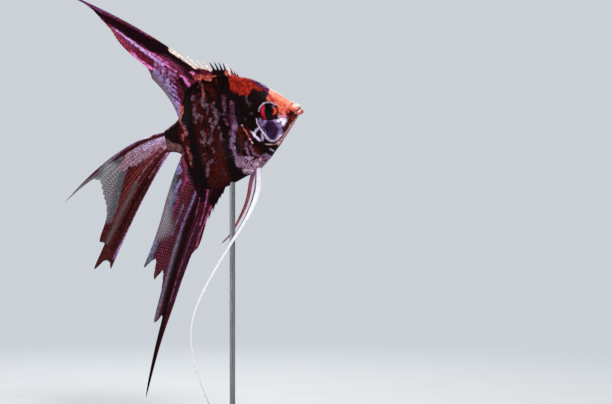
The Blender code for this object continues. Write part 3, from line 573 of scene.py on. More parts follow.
def body_lattice():
    """The skin's left half as a lattice of points and outward directions, with its stations."""
    head = np.linspace(JOIN_S, HEAD_END_S, HEAD_RINGS + 1)[:-1]
    stations = np.concatenate([head, np.linspace(HEAD_END_S, TAIL_S, FLANK_RINGS)])
    rings, length, below = half_rings(stations)
    turn = np.radians(np.linspace(0, 90, CAP_RINGS + 1)[1:-1])
    centre = rings[-1].mean(axis=0) * (1, 0, 1)
    caps = [centre + (rings[-1] - centre) * math.cos(a) + (TAIL_DOME * math.sin(a), 0, 0)
            for a in turn]
    flat = np.concatenate([snout_rings(rings[0]), rings, caps])
    outward = np.cross(np.gradient(flat, axis=1), np.gradient(flat, axis=0))
    outward[:, [0, -1], 1] = 0
    outward /= np.maximum(np.linalg.norm(outward, axis=2), 1e-9)[..., None]
    outward[0] = (-1, 0, 0)
    if outward[SNOUT_RINGS + 20, HALF_COLUMNS // 2, 1] < 0:
        outward[1:] *= -1
    points = flat + relief(flat[..., 0], flat[..., 2])[..., None] * outward
    points[:, [0, -1], 1] = 0
    return points, outward, flat, (stations, length, below)


def whole_skin(points, flat):
    """Vertices, faces, OFBake corners and places of the whole skin, from its left half."""
    rings, columns = len(points), 2 * HALF_COLUMNS
    whole, places = (np.concatenate([half[:, :-1], half[:, :0:-1] * (1, -1, 1)], axis=1)
                     for half in (points, flat))
    tip, end = whole[0].mean(axis=0), whole[-1].mean(axis=0) + (0.02, 0, 0)
    vertices, places = (np.vstack([tip, each[1:].reshape(-1, 3), end]) for each in (whole, places))
    i, k = np.mgrid[1:rings - 1, 0:columns].reshape(2, -1)
    u0, u1, v0, v1 = i / rings, (i + 1) / rings, k / columns, (k + 1) / columns
    corner_uv = list(np.stack([u0, v0, u1, v0, u1, v1, u0, v1], axis=1).reshape(-1, 4, 2))
    v0, v1, near = v0[:columns], v1[:columns], 1 / rings
    corner_uv += [((0, a), (near, a), (near, b)) for a, b in zip(v0, v1)]
    corner_uv += [((1, b), (1 - near, b), (1 - near, a)) for a, b in zip(v0, v1)]
    return vertices, tube_faces(rings - 1, columns), corner_uv, places


def body_values(places):
    """The markings' values at places (s, y, h). Those on the left side differ a little."""
    s, y, h = places[..., 0], places[..., 1], places[..., 2]
    warp = step(0, 3, y) * step(6.5, 12, distance_to(EYE_CENTRE, s, h))
    wave = np.sin(0.37 * s + 0.21 * h + 0.8) + 0.6 * np.sin(0.71 * h - 0.29 * s)
    tide = np.sin(0.33 * h - 0.24 * s + 2.1) + 0.6 * np.sin(0.62 * s + 0.3 * h)
    return mark_values(BODY_MARKS, s + 1.1 * warp * wave, h + 1.3 * warp * tide)


def body_material(name, scaly):
    """Marbled skin. On scales it also follows each scale's rim, ridges and tone, and a painted
    highlight lightens each rim.
    """
    made, tree = new_material(name)
    wander = noise(tree, 1.6, 4, 0.62, (1, 1, 0.42)) * 0.65
    wander += noise(tree, 0.7, 3, 0.6) * 0.35
    if scaly:
        rim, own, ridge = (attribute(tree, key) for key in ("rim", "tone", "ridge"))
        wander = own.maths("MULTIPLY_ADD", 0.16, wander - 0.08)
    tone = noise(tree, 1.7, 4, 0.65)
    height = grain = noise(tree, 0.35, 2, 0.6)
    colour = marked_colour(BODY_BASE, BODY_MARKS, wander, tone)
    colour = colour.scaled(grain.ranged(0.25, 0.75, 0.88, 1.12))
    if scaly:
        colour = colour.scaled(own.ranged(0, 1, 0.84, 1.18, "LINEAR"))
        # Painted highlight: each scale's rim is lightened and tinted lilac, as a sheen on its edge.
        colour = blend(rim.ranged(0.45, 1, 0, 0.6), colour, colour.tinted(1.35, (1.5, 0.6, 1)))
        net = attribute(tree, "belly").ranged(0.4, 0.7) * rim.ranged(0.35, 0.9)
        colour = blend(net * 0.7, colour, (520, 360, 480))
        height = (ridge * 40).sine() * 0.2 + grain
    return finished(made, Base_Color=colour, Roughness=tone.ranged(0.3, 0.7, 0.34, 0.52),
                    Coat_Weight=0.04, Coat_Roughness=0.16, Specular_IOR_Level=0.05,
                    Specular_Tint=(1, 0.72, 0.7, 1), Normal=bump(height, 0.05))


def on_lattice(lattice, stations, s, share):
    """The lattice's values at each (s, share of the way from belly to back)."""
    i = np.interp(s, stations, np.arange(len(stations))) + SNOUT_RINGS
    k = np.clip(share, 0, 1) * HALF_COLUMNS
    i0 = np.clip(i.astype(int), 0, len(lattice) - 2)
    k0 = np.clip(k.astype(int), 0, HALF_COLUMNS - 1)
    a, b = (i - i0)[..., None], (k - k0)[..., None]
    return ((1 - a) * (1 - b) * lattice[i0, k0] + a * (1 - b) * lattice[i0 + 1, k0]
            + (1 - a) * b * lattice[i0, k0 + 1] + a * b * lattice[i0 + 1, k0 + 1])


def head_end(h, gap):
    """Where the head ends at each height: at a gap from the gill cover's edge, then up the nape."""
    return np.where(h > NAPE_H, NAPE_S - NAPE_LEAN * (h - NAPE_H), curve_over(GILL_EDGE, h) + gap)


def has_body_scale(s, h):
    """Where the flank's scales grow: behind the gill cover and up over the nape."""
    return (s > head_end(h, 0.3)) & (s < LAST_SCALE)


def has_small_scale(s, h):
    """Where the small scales grow: the crown, the cheek and the gill cover."""
    clear = distance_to(EYE_CENTRE, s + EYE_BARE_AHEAD, h) > EYE_BARE
    groove = distance_to(PREOPERCLE, s, h) > GROOVE_BARE
    front = np.where(h > 4, 15.5 + 0.05 * h, 24.5)
    below = -15 + 0.1 * (s - 20)
    return (s < head_end(h, -1.7)) & (s > front) & clear & groove & (h > below)


def scale_coat(name, sizes, grows, body, side, seed):
    """Scales over a side of the body as one piece, each a thin closed plate rooted in the skin."""
    points, outward, flat, (stations, length, below) = body
    pitch, row_pitch, scale_length, half_width, stand, hold = sizes
    rng = np.random.default_rng(seed)
    roots = [(s, a) for n, a in enumerate(np.arange(-SCALES_ROUND, SCALES_ROUND, row_pitch))
             for s in np.arange(SCALES_FROM + 0.5 * pitch * (n % 2), SCALES_TO, pitch)]
    s_root, a_root = np.array(roots).T
    s_root = s_root + rng.uniform(-0.07, 0.07, len(s_root)) * pitch
    a_root = a_root + rng.uniform(-0.05, 0.05, len(a_root)) * row_pitch

    def share_of(s, a):
        return np.interp(s, stations, below) + a / np.interp(s, stations, length)

    share = share_of(s_root, a_root)
    middle = on_lattice(flat, stations, s_root, share)
    fits = (share > 0.012) & (share < 0.988) & grows(middle[:, 0], middle[:, 2])
    s_root, a_root = s_root[fits], a_root[fits]
    count = len(s_root)

    along, across = np.mgrid[0:SCALE_GRID, 0:SCALE_GRID].reshape(2, -1) / (SCALE_GRID - 1)
    across = 2 * across - 1
    width = np.interp(along, (0, 0.25, 0.5, 0.75, 1), (0.5, 0.86, 1, 0.86, 0.42))
    size = rng.uniform(0.94, 1.06, (count, 1))
    back = scale_length * size * (along - 0.1 * along * across**2)
    sideways = half_width * size * across * width
    stand = stand * rng.uniform(0.75, 1.25, (count, 1))
    lift = (stand + SCALE_ROOT) * step(0, 0.85, along) - SCALE_ROOT - 0.05 * (across * width) ** 2
    s = np.minimum(s_root[:, None] + back, TAIL_S)
    share = share_of(s, a_root[:, None] + sideways)
    normal = on_lattice(outward, stations, s, share)
    normal /= np.linalg.norm(normal, axis=-1)[..., None]
    top = on_lattice(points, stations, s, share) + lift[..., None] * normal
    vertices = np.concatenate([top, top - SCALE_THICK * normal], axis=1) * (1, side, 1)

    plate = plate_faces(np.arange(SCALE_GRID**2).reshape(SCALE_GRID, SCALE_GRID))
    corners = vertices.shape[1]
    faces = (plate[None] + corners * np.arange(count)[:, None, None]).reshape(-1, 4)
    local = np.tile(np.stack([along, 0.5 + 0.5 * across * width], axis=-1), (2, 1))
    root_uv = np.stack([s_root / BAKE_LENGTH, 0.5 + a_root / BAKE_ROUND], axis=-1)
    uv = root_uv[:, None, None, :] + SCALE_PATCH * (local[plate][None] - 0.5)

    values = body_values((1 - hold) * vertices + hold * vertices.mean(axis=1, keepdims=True))
    # How near a point lies to its scale's free edge; this drives the painted highlight on the rims
    # and the pale net on the throat.
    rim = np.maximum(along**3, 0.8 * np.abs(across) ** 4 * step(0.3, 0.7, along))
    values["rim"] = np.tile(rim, (count, 2))
    values["ridge"] = np.tile(along + 0.12 * across**2, (count, 2))
    values["tone"] = np.repeat(rng.uniform(0, 1, count), corners)
    return make_piece(f"{name}_{'right' if side < 0 else 'left'}", vertices, faces.tolist(),
                      bpy.data.materials["scaled_skin"], (), values, uv.reshape(-1, 4, 2))


def make_body():
    """The skin and the scales on both sides of it."""
    body = body_lattice()
    vertices, faces, corner_uv, places = whole_skin(body[0], body[2])
    skin = body_material("marbled_skin", False)
    body_material("scaled_skin", True)
    solids = ("head", "lower_jaw", "gill_cover_right", "gill_cover_left", "trunk", "tail_stalk")
    make_piece("skin", vertices, faces, skin, solids, body_values(places), corner_uv)
    for side, seed in ((-1, 11), (1, 12)):
        scale_coat("scales", SCALES, has_body_scale, body, side, seed)
        scale_coat("head_scales", SMALL_SCALES, has_small_scale, body, side, seed + 10)


# Fins


FIN_COLUMNS, FIN_ROWS = 460, 96
# How finely the rays and the root are searched, and how much of the columns' spacing is even.
RAY_SEARCH, ROOT_SEARCH, EVEN_PART = (501, 401), 4001, 40
SPOT_PITCH, JOINT_PITCH = 1.7, 0.55
# Half the thickness of the web, what a ray adds to it, and half a ray's width, by the share of the
# way out along it.
WEB_HALF = ((0, 0.34), (0.12, 0.16), (0.4, 0.1), (1, 0.06))
RAY_HALF = ((0, 0.42), (0.12, 0.3), (0.4, 0.22), (1, 0.09))
RAY_WIDTH = ((0, 0.42), (0.3, 0.27), (1, 0.15))
PLEAT = 0.1
# How far along a soft ray it parts in two, and again.
BRANCH_FROM, BRANCH_TO = (0.34, 0.66), (1, 1.05)
BRANCH_SPREAD = (0.24, 0.12)
PINKISH = (6, 1, 3)
WEB_LOOKS = {"clearness": (0.66, 0.45), "ray_colour": (120, 50, 75)}

# A fin has its root, and a guide line of (share along the root, s, h) that its rays are drawn to;
# the slopes at which they leave and arrive, by that share; the tips that its margin passes through;
# its spines, as how many, how much of the root and how free their tips are; how deep the fringe
# between its soft rays is; its sway, as size, waves across and along, and phase; its markings;
# where it is clear and where spotted; how clear its web gets, and the share of that on its rays.
DORSAL_MARKS = (
    ("tip", (60, 8, 40), (160, 40, 120), 0.6, 0.2, (7, 101, 78, 120.5, 95)),
    ("crimson", (100, 5, 14), (260, 22, 60), 0.9, 0.2,
     *((0.7, 78 - a, 54 - 1.2 * a, 69.6 - 0.8 * a, 46.2 - 1.2 * a, 62 - 0.4 * a, 38.4 - a)
      for a in (0, 1.3, 2.6))),
    ("rose", (420, 70, 250), (720, 220, 540), 0.8, 0.16,
     (1.7, 88, 53.4, 84.8, 48.6, 80.6, 43.8, 76.4, 40), (1.4, 59.8, 38, 55.2, 33),
     (2, 62, 33, 59.2, 27.8), (0.9, 77.4, 48.6, 71.4, 43.4, 64.6, 36.2),
     (0.8, 80.6, 52.8, 74.4, 47.8, 68.2, 41.8), (0.8, 73.4, 42.6, 67.4, 36.4, 63.6, 31.8)),
    ("rear", (120, 80, 200), (340, 250, 500), 0.8, 0.18, (7, 74.5, 37, 71.5, 30, 70, 20, 69.6, 11)),
    ("violet", (160, 50, 170), (380, 200, 460), 1.4, 0.26,
     (1.7, 75.4, 42.8, 70.6, 38.6, 65.6, 34.4), (1.3, 73.6, 38.8, 69.6, 35.2, 66.4, 31.6),
     (0.9, 72.6, 34, 71, 25, 70, 17), (2, 67.8, 28, 66.8, 19)),
    ("streak", (320, 170, 440), (680, 480, 860), 0.4, 0.14, (0.9, 95, 68, 90, 63, 86.6, 59.1),
     (1.5, 86.6, 59.1, 80, 51.4, 73.2, 44, 71, 41.6)),
    ("margin", (100, 4, 5), (300, 24, 40), 0.8, 0.14,
     (2.2, 100, 74.5, 94, 65.4, 90.8, 58.8, 87.6, 53.4)),
    ("bars", (50, 2.5, 6), (140, 10, 22), 0.9, 0.3,
     *rungs(1.2, 1.7, -14, 87.4, 56.4, 85.2, 54.2, 83.1, 52, 81, 49, 79, 46.6, 76.6, 43.8, 74, 41),
     *rungs(1.2, 2.2, -14, 73, 38.6, 69.8, 36.6, 66.2, 38, 72, 34.4, 68.6, 32, 65, 32.4)),
    ("black", (1.2, 0.3, 0.5), (9, 0.8, 1.8), 0.6, 0.14, (2.6, 104, 79.8, 96, 73),
     (4.2, 96, 72.6, 86, 64.2), (5.4, 86, 63.6, 76, 55), (6.4, 75, 53.8, 66, 47),
     (4.6, 64, 44, 57, 36.6), (7.5, 41.5, 26, 40, 40),
     *((0.6, 66 + 1.1 * a, 31.8 - 1.7 * a, 60.8 + 1.1 * a, 25.6 - 1.7 * a) for a in range(5)),
     (3.6, 61.4, 26, 61, 21), (2.8, 63, 31.6, 61.6, 26.4),
     (1.3, 62.4, 38.6, 59.5, 34.8, 56.6, 30.2), (1.8, 60, 40.6, 52.6, 33.2)),
    ("edge", (70, 12, 55), (220, 60, 180), 0.5, 0.14, (0.5, 76, 59.4, 90, 71.6),
     (0.8, 90, 71.6, 110, 87, 120.5, 95.2)),
    ("orange", (240, 24, 20), (520, 120, 80), 0.9, 0.14, (3, 44.5, 28, 53.5, 30.5),
     (1.5, 66.4, 12, 66.2, 17), (2.6, 32, 25, 37, 29)),
    ("cream", (760, 420, 360), (980, 880, 800), 0.4, 0.14, (3.6, 53, 37, 57.5, 41.8, 64.5, 48.8),
     (2.4, 49.6, 35.4, 57, 42.8), (2.4, 48, 34.8, 53.9, 40.6), (2, 45.6, 33, 50, 38.6),
     (1.3, 35.2, 28.5, 36.6, 36)),
)
DORSAL_FIN = {
    "root": ((30.5, 24.3), (36, 26), (43.5, 27.3), (49, 28), (55, 27), (59.3, 24.8), (62, 20.6),
             (64.6, 14.4), (66.8, 10.6), (68.4, 9)),
    "guide": ((0, 44, 90), (0.12, 58, 95), (0.25, 90, 101), (0.36, 114, 99), (0.43, 120.8, 95.3),
             (0.55, 124, 86), (0.75, 117, 74.5), (1, 104, 64)),
    "leave": ((0, 75), (0.11, 87), (0.22, 80), (0.3, 66), (0.43, 56), (0.62, 60), (0.8, 70),
             (1, 86)),
    "arrive": ((0, 75), (0.2, 62), (0.43, 38), (0.6, 40), (0.8, 42), (1, 48)),
    "tips": ((31.6, 28.2), (34.5, 31.8), (36.5, 35), (41, 36.5), (46.2, 37.6), (49.5, 38.4),
             (53.6, 40.7), (58, 43.9), (64.2, 48.5), (120.5, 95), (107.4, 84.5), (99.9, 74.1),
             (95.1, 65.6), (86, 49.1), (80.2, 42), (77.6, 37)),
    "spines": (12, 0.388, 0.62),
    "soft_rays": 26,
    "fringe": 0.008,
    "sway": (4, 0.9, 0.35, 0.1),
    "base": ((45, 3, 8), (120, 9, 24)),
    "marks": DORSAL_MARKS,
    "clear": ((7, 80, 36, 74.5, 27, 72, 14),),
    "spots": ((4, 97, 68, 86, 55), (3, 70, 45, 62, 36.5)),
    "spot_colour": (400, 100, 260), **WEB_LOOKS,
}

ANAL_MARKS = (
    # A painted shade: dark blue-grey that stands for water seen through the clear web, over a smoky
    # tint of the web's own.
    ("film", (40, 55, 75), (110, 120, 170), 0.8, 0.2, (15, 88, -20, 90, -44),
     (8, 78.5, -12, 82, -30), (6, 95, -50, 103, -62)),
    ("rear", (90, 70, 170), (280, 230, 440), 0.8, 0.16, (3.4, 72.9, -8, 74.6, -12.4, 74.4, -17),
     (1.6, 74.8, -22.4, 80, -29.4, 84.6, -35.6, 89.8, -44.1, 96, -52.6, 103.6, -62)),
    ("magenta", (110, 11, 30), (280, 38, 90), 0.9, 0.16,
     (2.6, 70.8, -10, 69.6, -16.8, 71, -22.8, 74.6, -28.4), (1.2, 77, -31, 84, -41)),
    ("maroon", (20, 1, 1.8), (75, 6, 7), 0.8, 0.16,
     (5, 70.3, -26.3, 77.2, -36.6, 83.4, -44.6, 88.6, -51.6, 95.4, -64, 100, -72)),
    ("streak", (50, 45, 100), (180, 140, 280), 0.6, 0.14,
     (1.3, 67, -29.7, 71.7, -36.4, 76.4, -42.4, 82.6, -52.4, 88.4, -62.4, 94.6, -73.8, 99.2, -82.4,
      104.6, -92.6, 108, -99), (0.6, 76, -35.6, 86, -50.4)),
    ("black", (1.2, 0.3, 0.5), (8, 0.7, 1), 0.6, 0.14, (4.6, 68.4, -19.3, 66.4, -25.8, 63.6, -35),
     (3, 64.5, -31.4, 70.7, -40.6, 76.7, -49),
     (3.2, 76.7, -49, 82.4, -58.8, 88.4, -68.8, 96.8, -84.6), (3, 62, -27.5, 50, -30.6),
     (3, 96.8, -84.6, 104.6, -101, 111, -112.4, 120.5, -135), (6, 53, -30, 58.6, -37)),
    ("mauve", (14, 2, 5), (45, 8, 18), 0.8, 0.14,
     (3.2, 70.8, -48.8, 75.9, -57.2, 80.9, -65.4, 86, -73.6, 91, -81.6, 95.4, -88.8)),
    ("plum", (60, 18, 45), (160, 60, 120), 0.6, 0.14,
     (0.5, 69, -44.6, 77.5, -57, 86, -70.4, 95, -86), (0.5, 73, -59, 80, -67.4, 92, -85)),
    ("pink", (140, 22, 60), (380, 100, 240), 0.6, 0.12,
     (0.8, 60.4, -30.2, 62.4, -35.2, 65.2, -41.4, 69, -48.4),
     (0.8, 60.8, -40, 65.4, -46.6, 69.7, -52.4, 73.2, -58.6), (0.4, 66, -34, 70.6, -43.4)),
)
ANAL_FIN = {
    "root": ((50, -29.8), (55, -30.3), (60, -29.3), (64.3, -26.6), (66.4, -21.5), (67.8, -15.5),
             (70.4, -8.2)),
    "guide": ((0, 92, -140), (0.2, 109, -141), (0.36, 120.5, -135.5), (0.5, 123, -118),
             (0.65, 122, -101), (0.8, 117, -83), (1, 103, -60)),
    "leave": ((0, -58), (0.1, -62), (0.24, -63), (0.6, -64), (0.85, -60), (1, -52)),
    "arrive": ((0, -66), (0.3, -66), (0.5, -58), (0.65, -52), (0.8, -48), (1, -50)),
    "tips": ((53, -34.8), (55.8, -37.6), (59, -41.4), (62.4, -45.2), (66, -49.8), (72.2, -59.6),
             (77.2, -63.4), (85.3, -75.4), (92, -86), (107, -109.8), (120.2, -134.8), (110.2, -111),
             (101.4, -93), (106.6, -95.2), (98.6, -78.6), (95.4, -69), (101, -72), (97.4, -62.6),
             (103.8, -63.2), (84.8, -32.6)),
    "spines": (6, 0.2, 0.3),
    "soft_rays": 26,
    "fringe": 0.012,
    "sway": (4.5, 1.1, 0.4, 0.55),
    "base": ((20, 1.3, 3), (60, 5, 10)),
    "marks": ANAL_MARKS,
    "clear": ((16, 90, -18, 92, -44), (5, 80.5, -12, 83, -30), (3, 97, -50, 105, -62),
             (0.8, 82.4, -52, 94.6, -73.8, 104.6, -92.6), (2, 101, -68, 108, -96)),
    "spots": ((7, 72, -14, 72, -24, 79, -38, 89, -52, 97, -66),),
    "spot_colour": (160, 60, 120), **WEB_LOOKS,
}

CAUDAL_MARKS = (
    # A painted shade: dark teal that stands for water seen through the clear web, over a smoky tint
    # of the web's own.
    ("film", (50, 70, 80), (120, 145, 165), 0.7, 0.3, (15, 110, -7, 116, -18, 121, -29),
     (9, 120, -14, 142, -22), (4, 123, -32, 132, -45)),
    ("mottled", (200, 120, 170), (420, 240, 330), 0.9, 0.2, (8.6, 82, -0.6, 92, -2.4, 99, -5),
     (5, 99, -4, 105.4, -8.4)),
    ("lilac", (280, 160, 300), (580, 420, 640), 0.7, 0.16, (3.2, 79, 2.4, 85.9, 0.8, 91, -0.8),
     (1.2, 91, 0.6, 101, -2.4)),
    ("ember", (60, 7, 6), (160, 28, 25), 1, 0.16,
     (2.6, 82, -3.6, 92.2, -8.8, 98.4, -13.2, 104.5, -19.8, 111, -28.2, 117, -36),
     (0.5, 90, -14.4, 100, -24, 110, -35.6), (0.5, 88, -11.4, 98, -19.4, 108, -30.4)),
    ("bars", (10, 0.8, 1), (40, 4, 3), 0.7, 0.14,
     (2.6, 79, -5, 91.6, -15.8, 98.6, -23, 105, -30.2, 112, -38.8, 121, -51),
     (1.6, 77, 3.8, 86, 3.7, 93, 2.3, 101, 0, 112, -4.8)),
    ("streaks", (120, 32, 55), (300, 120, 180), 0.6, 0.14, (0.6, 82, -4, 92, -11, 100.2, -18.4),
     (0.4, 81, -1.6, 95, -9.4), (0.4, 80, -6.4, 92, -17.2), (0.5, 79, -0.4, 90, -5.4)),
    ("edge", (150, 45, 160), (420, 190, 440), 0.5, 0.14,
     (1.3, 78.6, -6.4, 89.4, -18.7, 101, -32, 110.9, -44, 120.8, -55.9),
     (0.8, 77, 5.6, 90, 4.9, 105, 0.4, 114, -4.6)),
    ("rim", (90, 35, 70), (240, 120, 180), 0.5, 0.12, (0.7, 112, -3.6, 123, -10, 140.6, -20.4)),
    ("white", (600, 480, 660), (950, 880, 950), 0.4, 0.12, (1.2, 86.5, 4.9, 91.8, 4.7)),
)
CAUDAL_FIN = {
    "root": ((76.4, 5.1), (76.8, 1.7), (76.8, -1.7), (76.4, -5.1)),
    "guide": ((0, 141, -20.8), (0.15, 146, -32), (0.4, 146, -48), (0.7, 144, -62), (0.85, 138, -65),
             (1, 124, -62.5)),
    "leave": ((0, 6), (0.5, -22), (1, -43)),
    "arrive": ((0, -38), (0.15, -40), (0.4, -44), (0.7, -48), (1, -57)),
    "tips": ((140.6, -20.6), (123, -11.6), (119, -14.2), (118.9, -25.5), (120.6, -33), (128, -45.2),
             (125.4, -46.8), (134.6, -59.9), (126.4, -56.4), (123.5, -61.8)),
    "spines": (0, 0, 0),
    "soft_rays": 15,
    "fringe": 0.014,
    "sway": (5, 0.8, 0.45, 0.3),
    "base": ((22, 2.2, 2.4), (85, 13, 12)),
    "marks": CAUDAL_MARKS,
    "clear": ((11, 112, -9, 118, -20, 123, -30), (9, 120, -14, 142, -22), (2, 106, -7, 112, -18),
             (3, 124, -33, 134, -47), (0.8, 100, -18.6, 111, -31.4, 124, -46.6)),
    "spots": ((16, 88, -2, 102, -9, 110, -18, 117, -30),),
    "spot_colour": (100, 14, 12), **WEB_LOOKS,
}

PECTORAL_FIN = {
    "root": ((-1.2, 2.5), (-1.5, 0.8), (-1.5, -0.8), (-1.2, -2.5)),
    "guide": ((0, 9.5, 6.2), (0.18, 15.6, 5.8), (0.42, 18, 1.4), (0.7, 14.6, -4.6), (1, 7.4, -7.2)),
    "leave": ((0, 22), (0.5, 2), (1, -24)),
    "arrive": ((0, 30), (0.5, 0), (1, -46)),
    "tips": ((9.5, 6.2), (15.6, 5.8), (18, 1.4), (14.6, -4.6), (7.4, -7.2)),
    "spines": (0, 0, 0),
    "soft_rays": 11,
    "fringe": 0.01,
    "sway": (0.9, 0.7, 0.25, 0.4),
    "base": ((50, 30, 40), (100, 70, 90)), "marks": (),
    "clear": ((60, -10, 0, 30, 0),), "spots": (),
    "clearness": (0.98, 0.97), "spot_colour": (100, 14, 12), "ray_colour": (90, 55, 75),
}
PECTORAL_COLUMNS, PECTORAL_ROWS = 200, 60
PECTORAL_AT, PECTORAL_OUT = (33.4, -9.6), 6.6
PECTORAL_FLARE, PECTORAL_DROOP = math.radians(42), math.radians(14)

# Pelvic fins, as in the solids: places along the fin as (s, y, h, half width).
PELVIC_RIGHT = ((30.4, -1.8, -25, 1.5), (32.2, -3.2, -34.4, 1.9), (35.6, -4, -41.8, 1.6),
    (40.4, -4.4, -48.5, 1.25), (44.8, -4.6, -53.6, 1), (52.5, -4.9, -61.3, 0.85),
    (59.8, -5.1, -68.9, 0.75), (67.2, -5.2, -76.9, 0.7), (73.9, -5, -84.6, 0.62),
    (79.5, -4.7, -92, 0.56), (83.9, -4.4, -100.2, 0.52), (86.4, -4.2, -108.9, 0.5),
    (87.2, -4, -117.9, 0.48), (86.6, -4, -127.2, 0.46), (85.2, -4, -136.6, 0.44),
    (82.7, -4, -148.2, 0.36))
PELVIC_LEFT = ((33.6, 1.8, -25.6, 1.1), (37, 2.6, -31.6, 1.15), (39.8, 3.1, -38, 1),
    (43, 3.4, -43.6, 0.9), (46.6, 3.8, -48.2, 0.75), (50.6, 4, -52.8, 0.6),
    (55.2, 4.2, -57.4, 0.45), (60.4, 4.4, -60.6, 0.3))
PELVIC_HALF_THICK, PELVIC_SAMPLES, PELVIC_SIDES = ((0, 0.56), (1, 0.28)), 320, 48


def full_rays(fin, along_root, along_ray):
    """Points (s, h) on a fin's full rays: cubic curves from its root to its guide line."""
    root = np.array(fin["root"], float)
    run = run_along(root)
    start = curve(np.column_stack([run / run[-1], root]), along_root)
    end = curve(fin["guide"], along_root)
    handle = np.linalg.norm(end - start, axis=1)[:, None] / 3
    first = start + handle * slopes(fin["leave"], along_root)
    second = end - handle * slopes(fin["arrive"], along_root)
    t = along_ray[..., None]
    a, b, c, d = (p[:, None, :] for p in (start, first, second, end))
    return a * (1 - t) ** 3 + 3 * b * t * (1 - t) ** 2 + 3 * c * t * t * (1 - t) + d * t**3


def tip_places(fin):
    """For each tip, the ray that passes through it and how far out along that ray it lies. The
    first and last tips are on the first and last rays."""
    across, along = (np.linspace(0, 1, count) for count in RAY_SEARCH)
    rays = full_rays(fin, across, np.tile(along, (len(across), 1)))
    last = len(fin["tips"]) - 1
    places = []
    for n, tip in enumerate(fin["tips"]):
        gap = np.linalg.norm(rays - tip, axis=2)
        i, k = np.unravel_index(np.argmin(gap), gap.shape)
        if n in (0, last):
            i = -1 if n else 0
            k = np.argmin(gap[i])
        places.append((across[i], along[k]))
    return np.array(places)


def column_places(fin, places, count):
    """Places along the root for the mesh's columns, closest where the margin is longest."""
    u = np.linspace(0, 1, ROOT_SEARCH)
    margin = full_rays(fin, u, curve(places, u))[:, 0]
    run = run_along(margin) + np.arange(len(u)) * EVEN_PART / len(u)
    return np.interp(np.linspace(0, run[-1], count), run, u)


def ray_numbers(fin, u):
    """Which ray each place on the root lies at: whole numbers are spines, then soft rays."""
    count, last, _ = fin["spines"]
    first = max(count - 1, 0)
    soft = first + (u - last) / (1 - last) * fin["soft_rays"]
    return np.where(u < last, u / last * first, soft) if count else soft


def fin_sheet(fin, columns, rows):
    """A fin's middle surface, its rays' ridges and its places: arrays over columns and rows."""
    places = tip_places(fin)
    u = column_places(fin, places, columns)
    number = ray_numbers(fin, u)
    cell = number - np.round(number)
    _, last, free = fin["spines"]
    spiny = u < last
    notch = np.minimum(1, np.abs(cell) / 0.34) ** 1.3 * (1 - 0.25 * (2 * np.abs(cell)) ** 2)
    uneven = 1.1 + 0.5 * np.sin(12.9898 * np.round(number))
    cut = np.where(spiny, free * notch, fin["fringe"] * uneven * np.abs(2 * cell) ** 2)
    share = (1 - cut)[:, None] * np.linspace(0, 1, rows) ** 0.92
    t = share * curve(places, u)
    flat = full_rays(fin, u, t)
    size, across, along, phase = fin["sway"]
    y = size * t**1.5 * np.sin(TURN * (across * u[:, None] + along * t + phase))
    lines = np.gradient(flat, axis=1)
    lines /= np.maximum(np.linalg.norm(lines, axis=2), 1e-9)[..., None]
    apart = np.gradient(flat, number, axis=0)
    pitch = np.abs(apart[..., 0] * lines[..., 1] - apart[..., 1] * lines[..., 0])
    first, second = (spread * step(start, end, share) * ~spiny[:, None]
                     for spread, start, end in zip(BRANCH_SPREAD, BRANCH_FROM, BRANCH_TO))
    away = np.min([np.abs(cell[:, None] - a * first - b * second)
                   for a in (-1, 1) for b in (-1, 1)], axis=0)
    width = np.interp(share, *zip(*RAY_WIDTH)) * np.where(spiny, 1.25, 1)[:, None]
    ridge = bell(away * pitch, width)
    pleats = PLEAT * step(0.02, 0.2, share) * (1 - 0.5 * share)
    y += pleats * np.cos(TURN * number)[:, None]
    number = number[:, None] + 0 * share
    return flat, y, share, {"ray": ridge, "number": number, "run": run_along(flat)}


def fin_piece(name, node, fin, material, place=lambda points: points, columns=FIN_COLUMNS,
              rows=FIN_ROWS):
    """A fin as one closed thin sheet: a web with a ridge along each ray, on both faces."""
    flat, y, share, values = fin_sheet(fin, columns, rows)
    half = np.interp(share, *zip(*WEB_HALF)) + np.interp(share, *zip(*RAY_HALF)) * values["ray"]
    half *= 1 - 0.75 * (share > 0.995)
    s, h = flat[..., 0], flat[..., 1]
    points = np.stack([np.stack([s, y + side * half, h], axis=-1) for side in (-1, 1)])
    values.update(mark_values(fin["marks"], s, h))
    values["clear"] = step(0.1, 0.9, mark(fin["clear"], s, h, AREA_SPAN))
    values["spotted"] = step(0.2, 0.8, mark(fin["spots"], s, h, AREA_SPAN))
    faces = plate_faces(np.arange(columns * rows).reshape(columns, rows).T).tolist()
    values = {key: np.tile(value.ravel(), 2) for key, value in values.items()}
    return make_piece(name, place(points), faces, material, (node,), values)


def spot_mask(tree, run):
    """Rows of spots between the rays, offset from row to row."""
    twice = attribute(tree, "number") * 2
    row = twice.maths("ROUND")
    turn = run.maths("DIVIDE", SPOT_PITCH) + ((row * 4.7).sine() * 0.28 + row * 0.5)
    along = (turn * TURN).sine().ranged(0, 0.8)
    across = (twice - row).maths("ABSOLUTE").ranged(0.12, 0.46, 1, 0)
    return attribute(tree, "spotted") * (along * across)


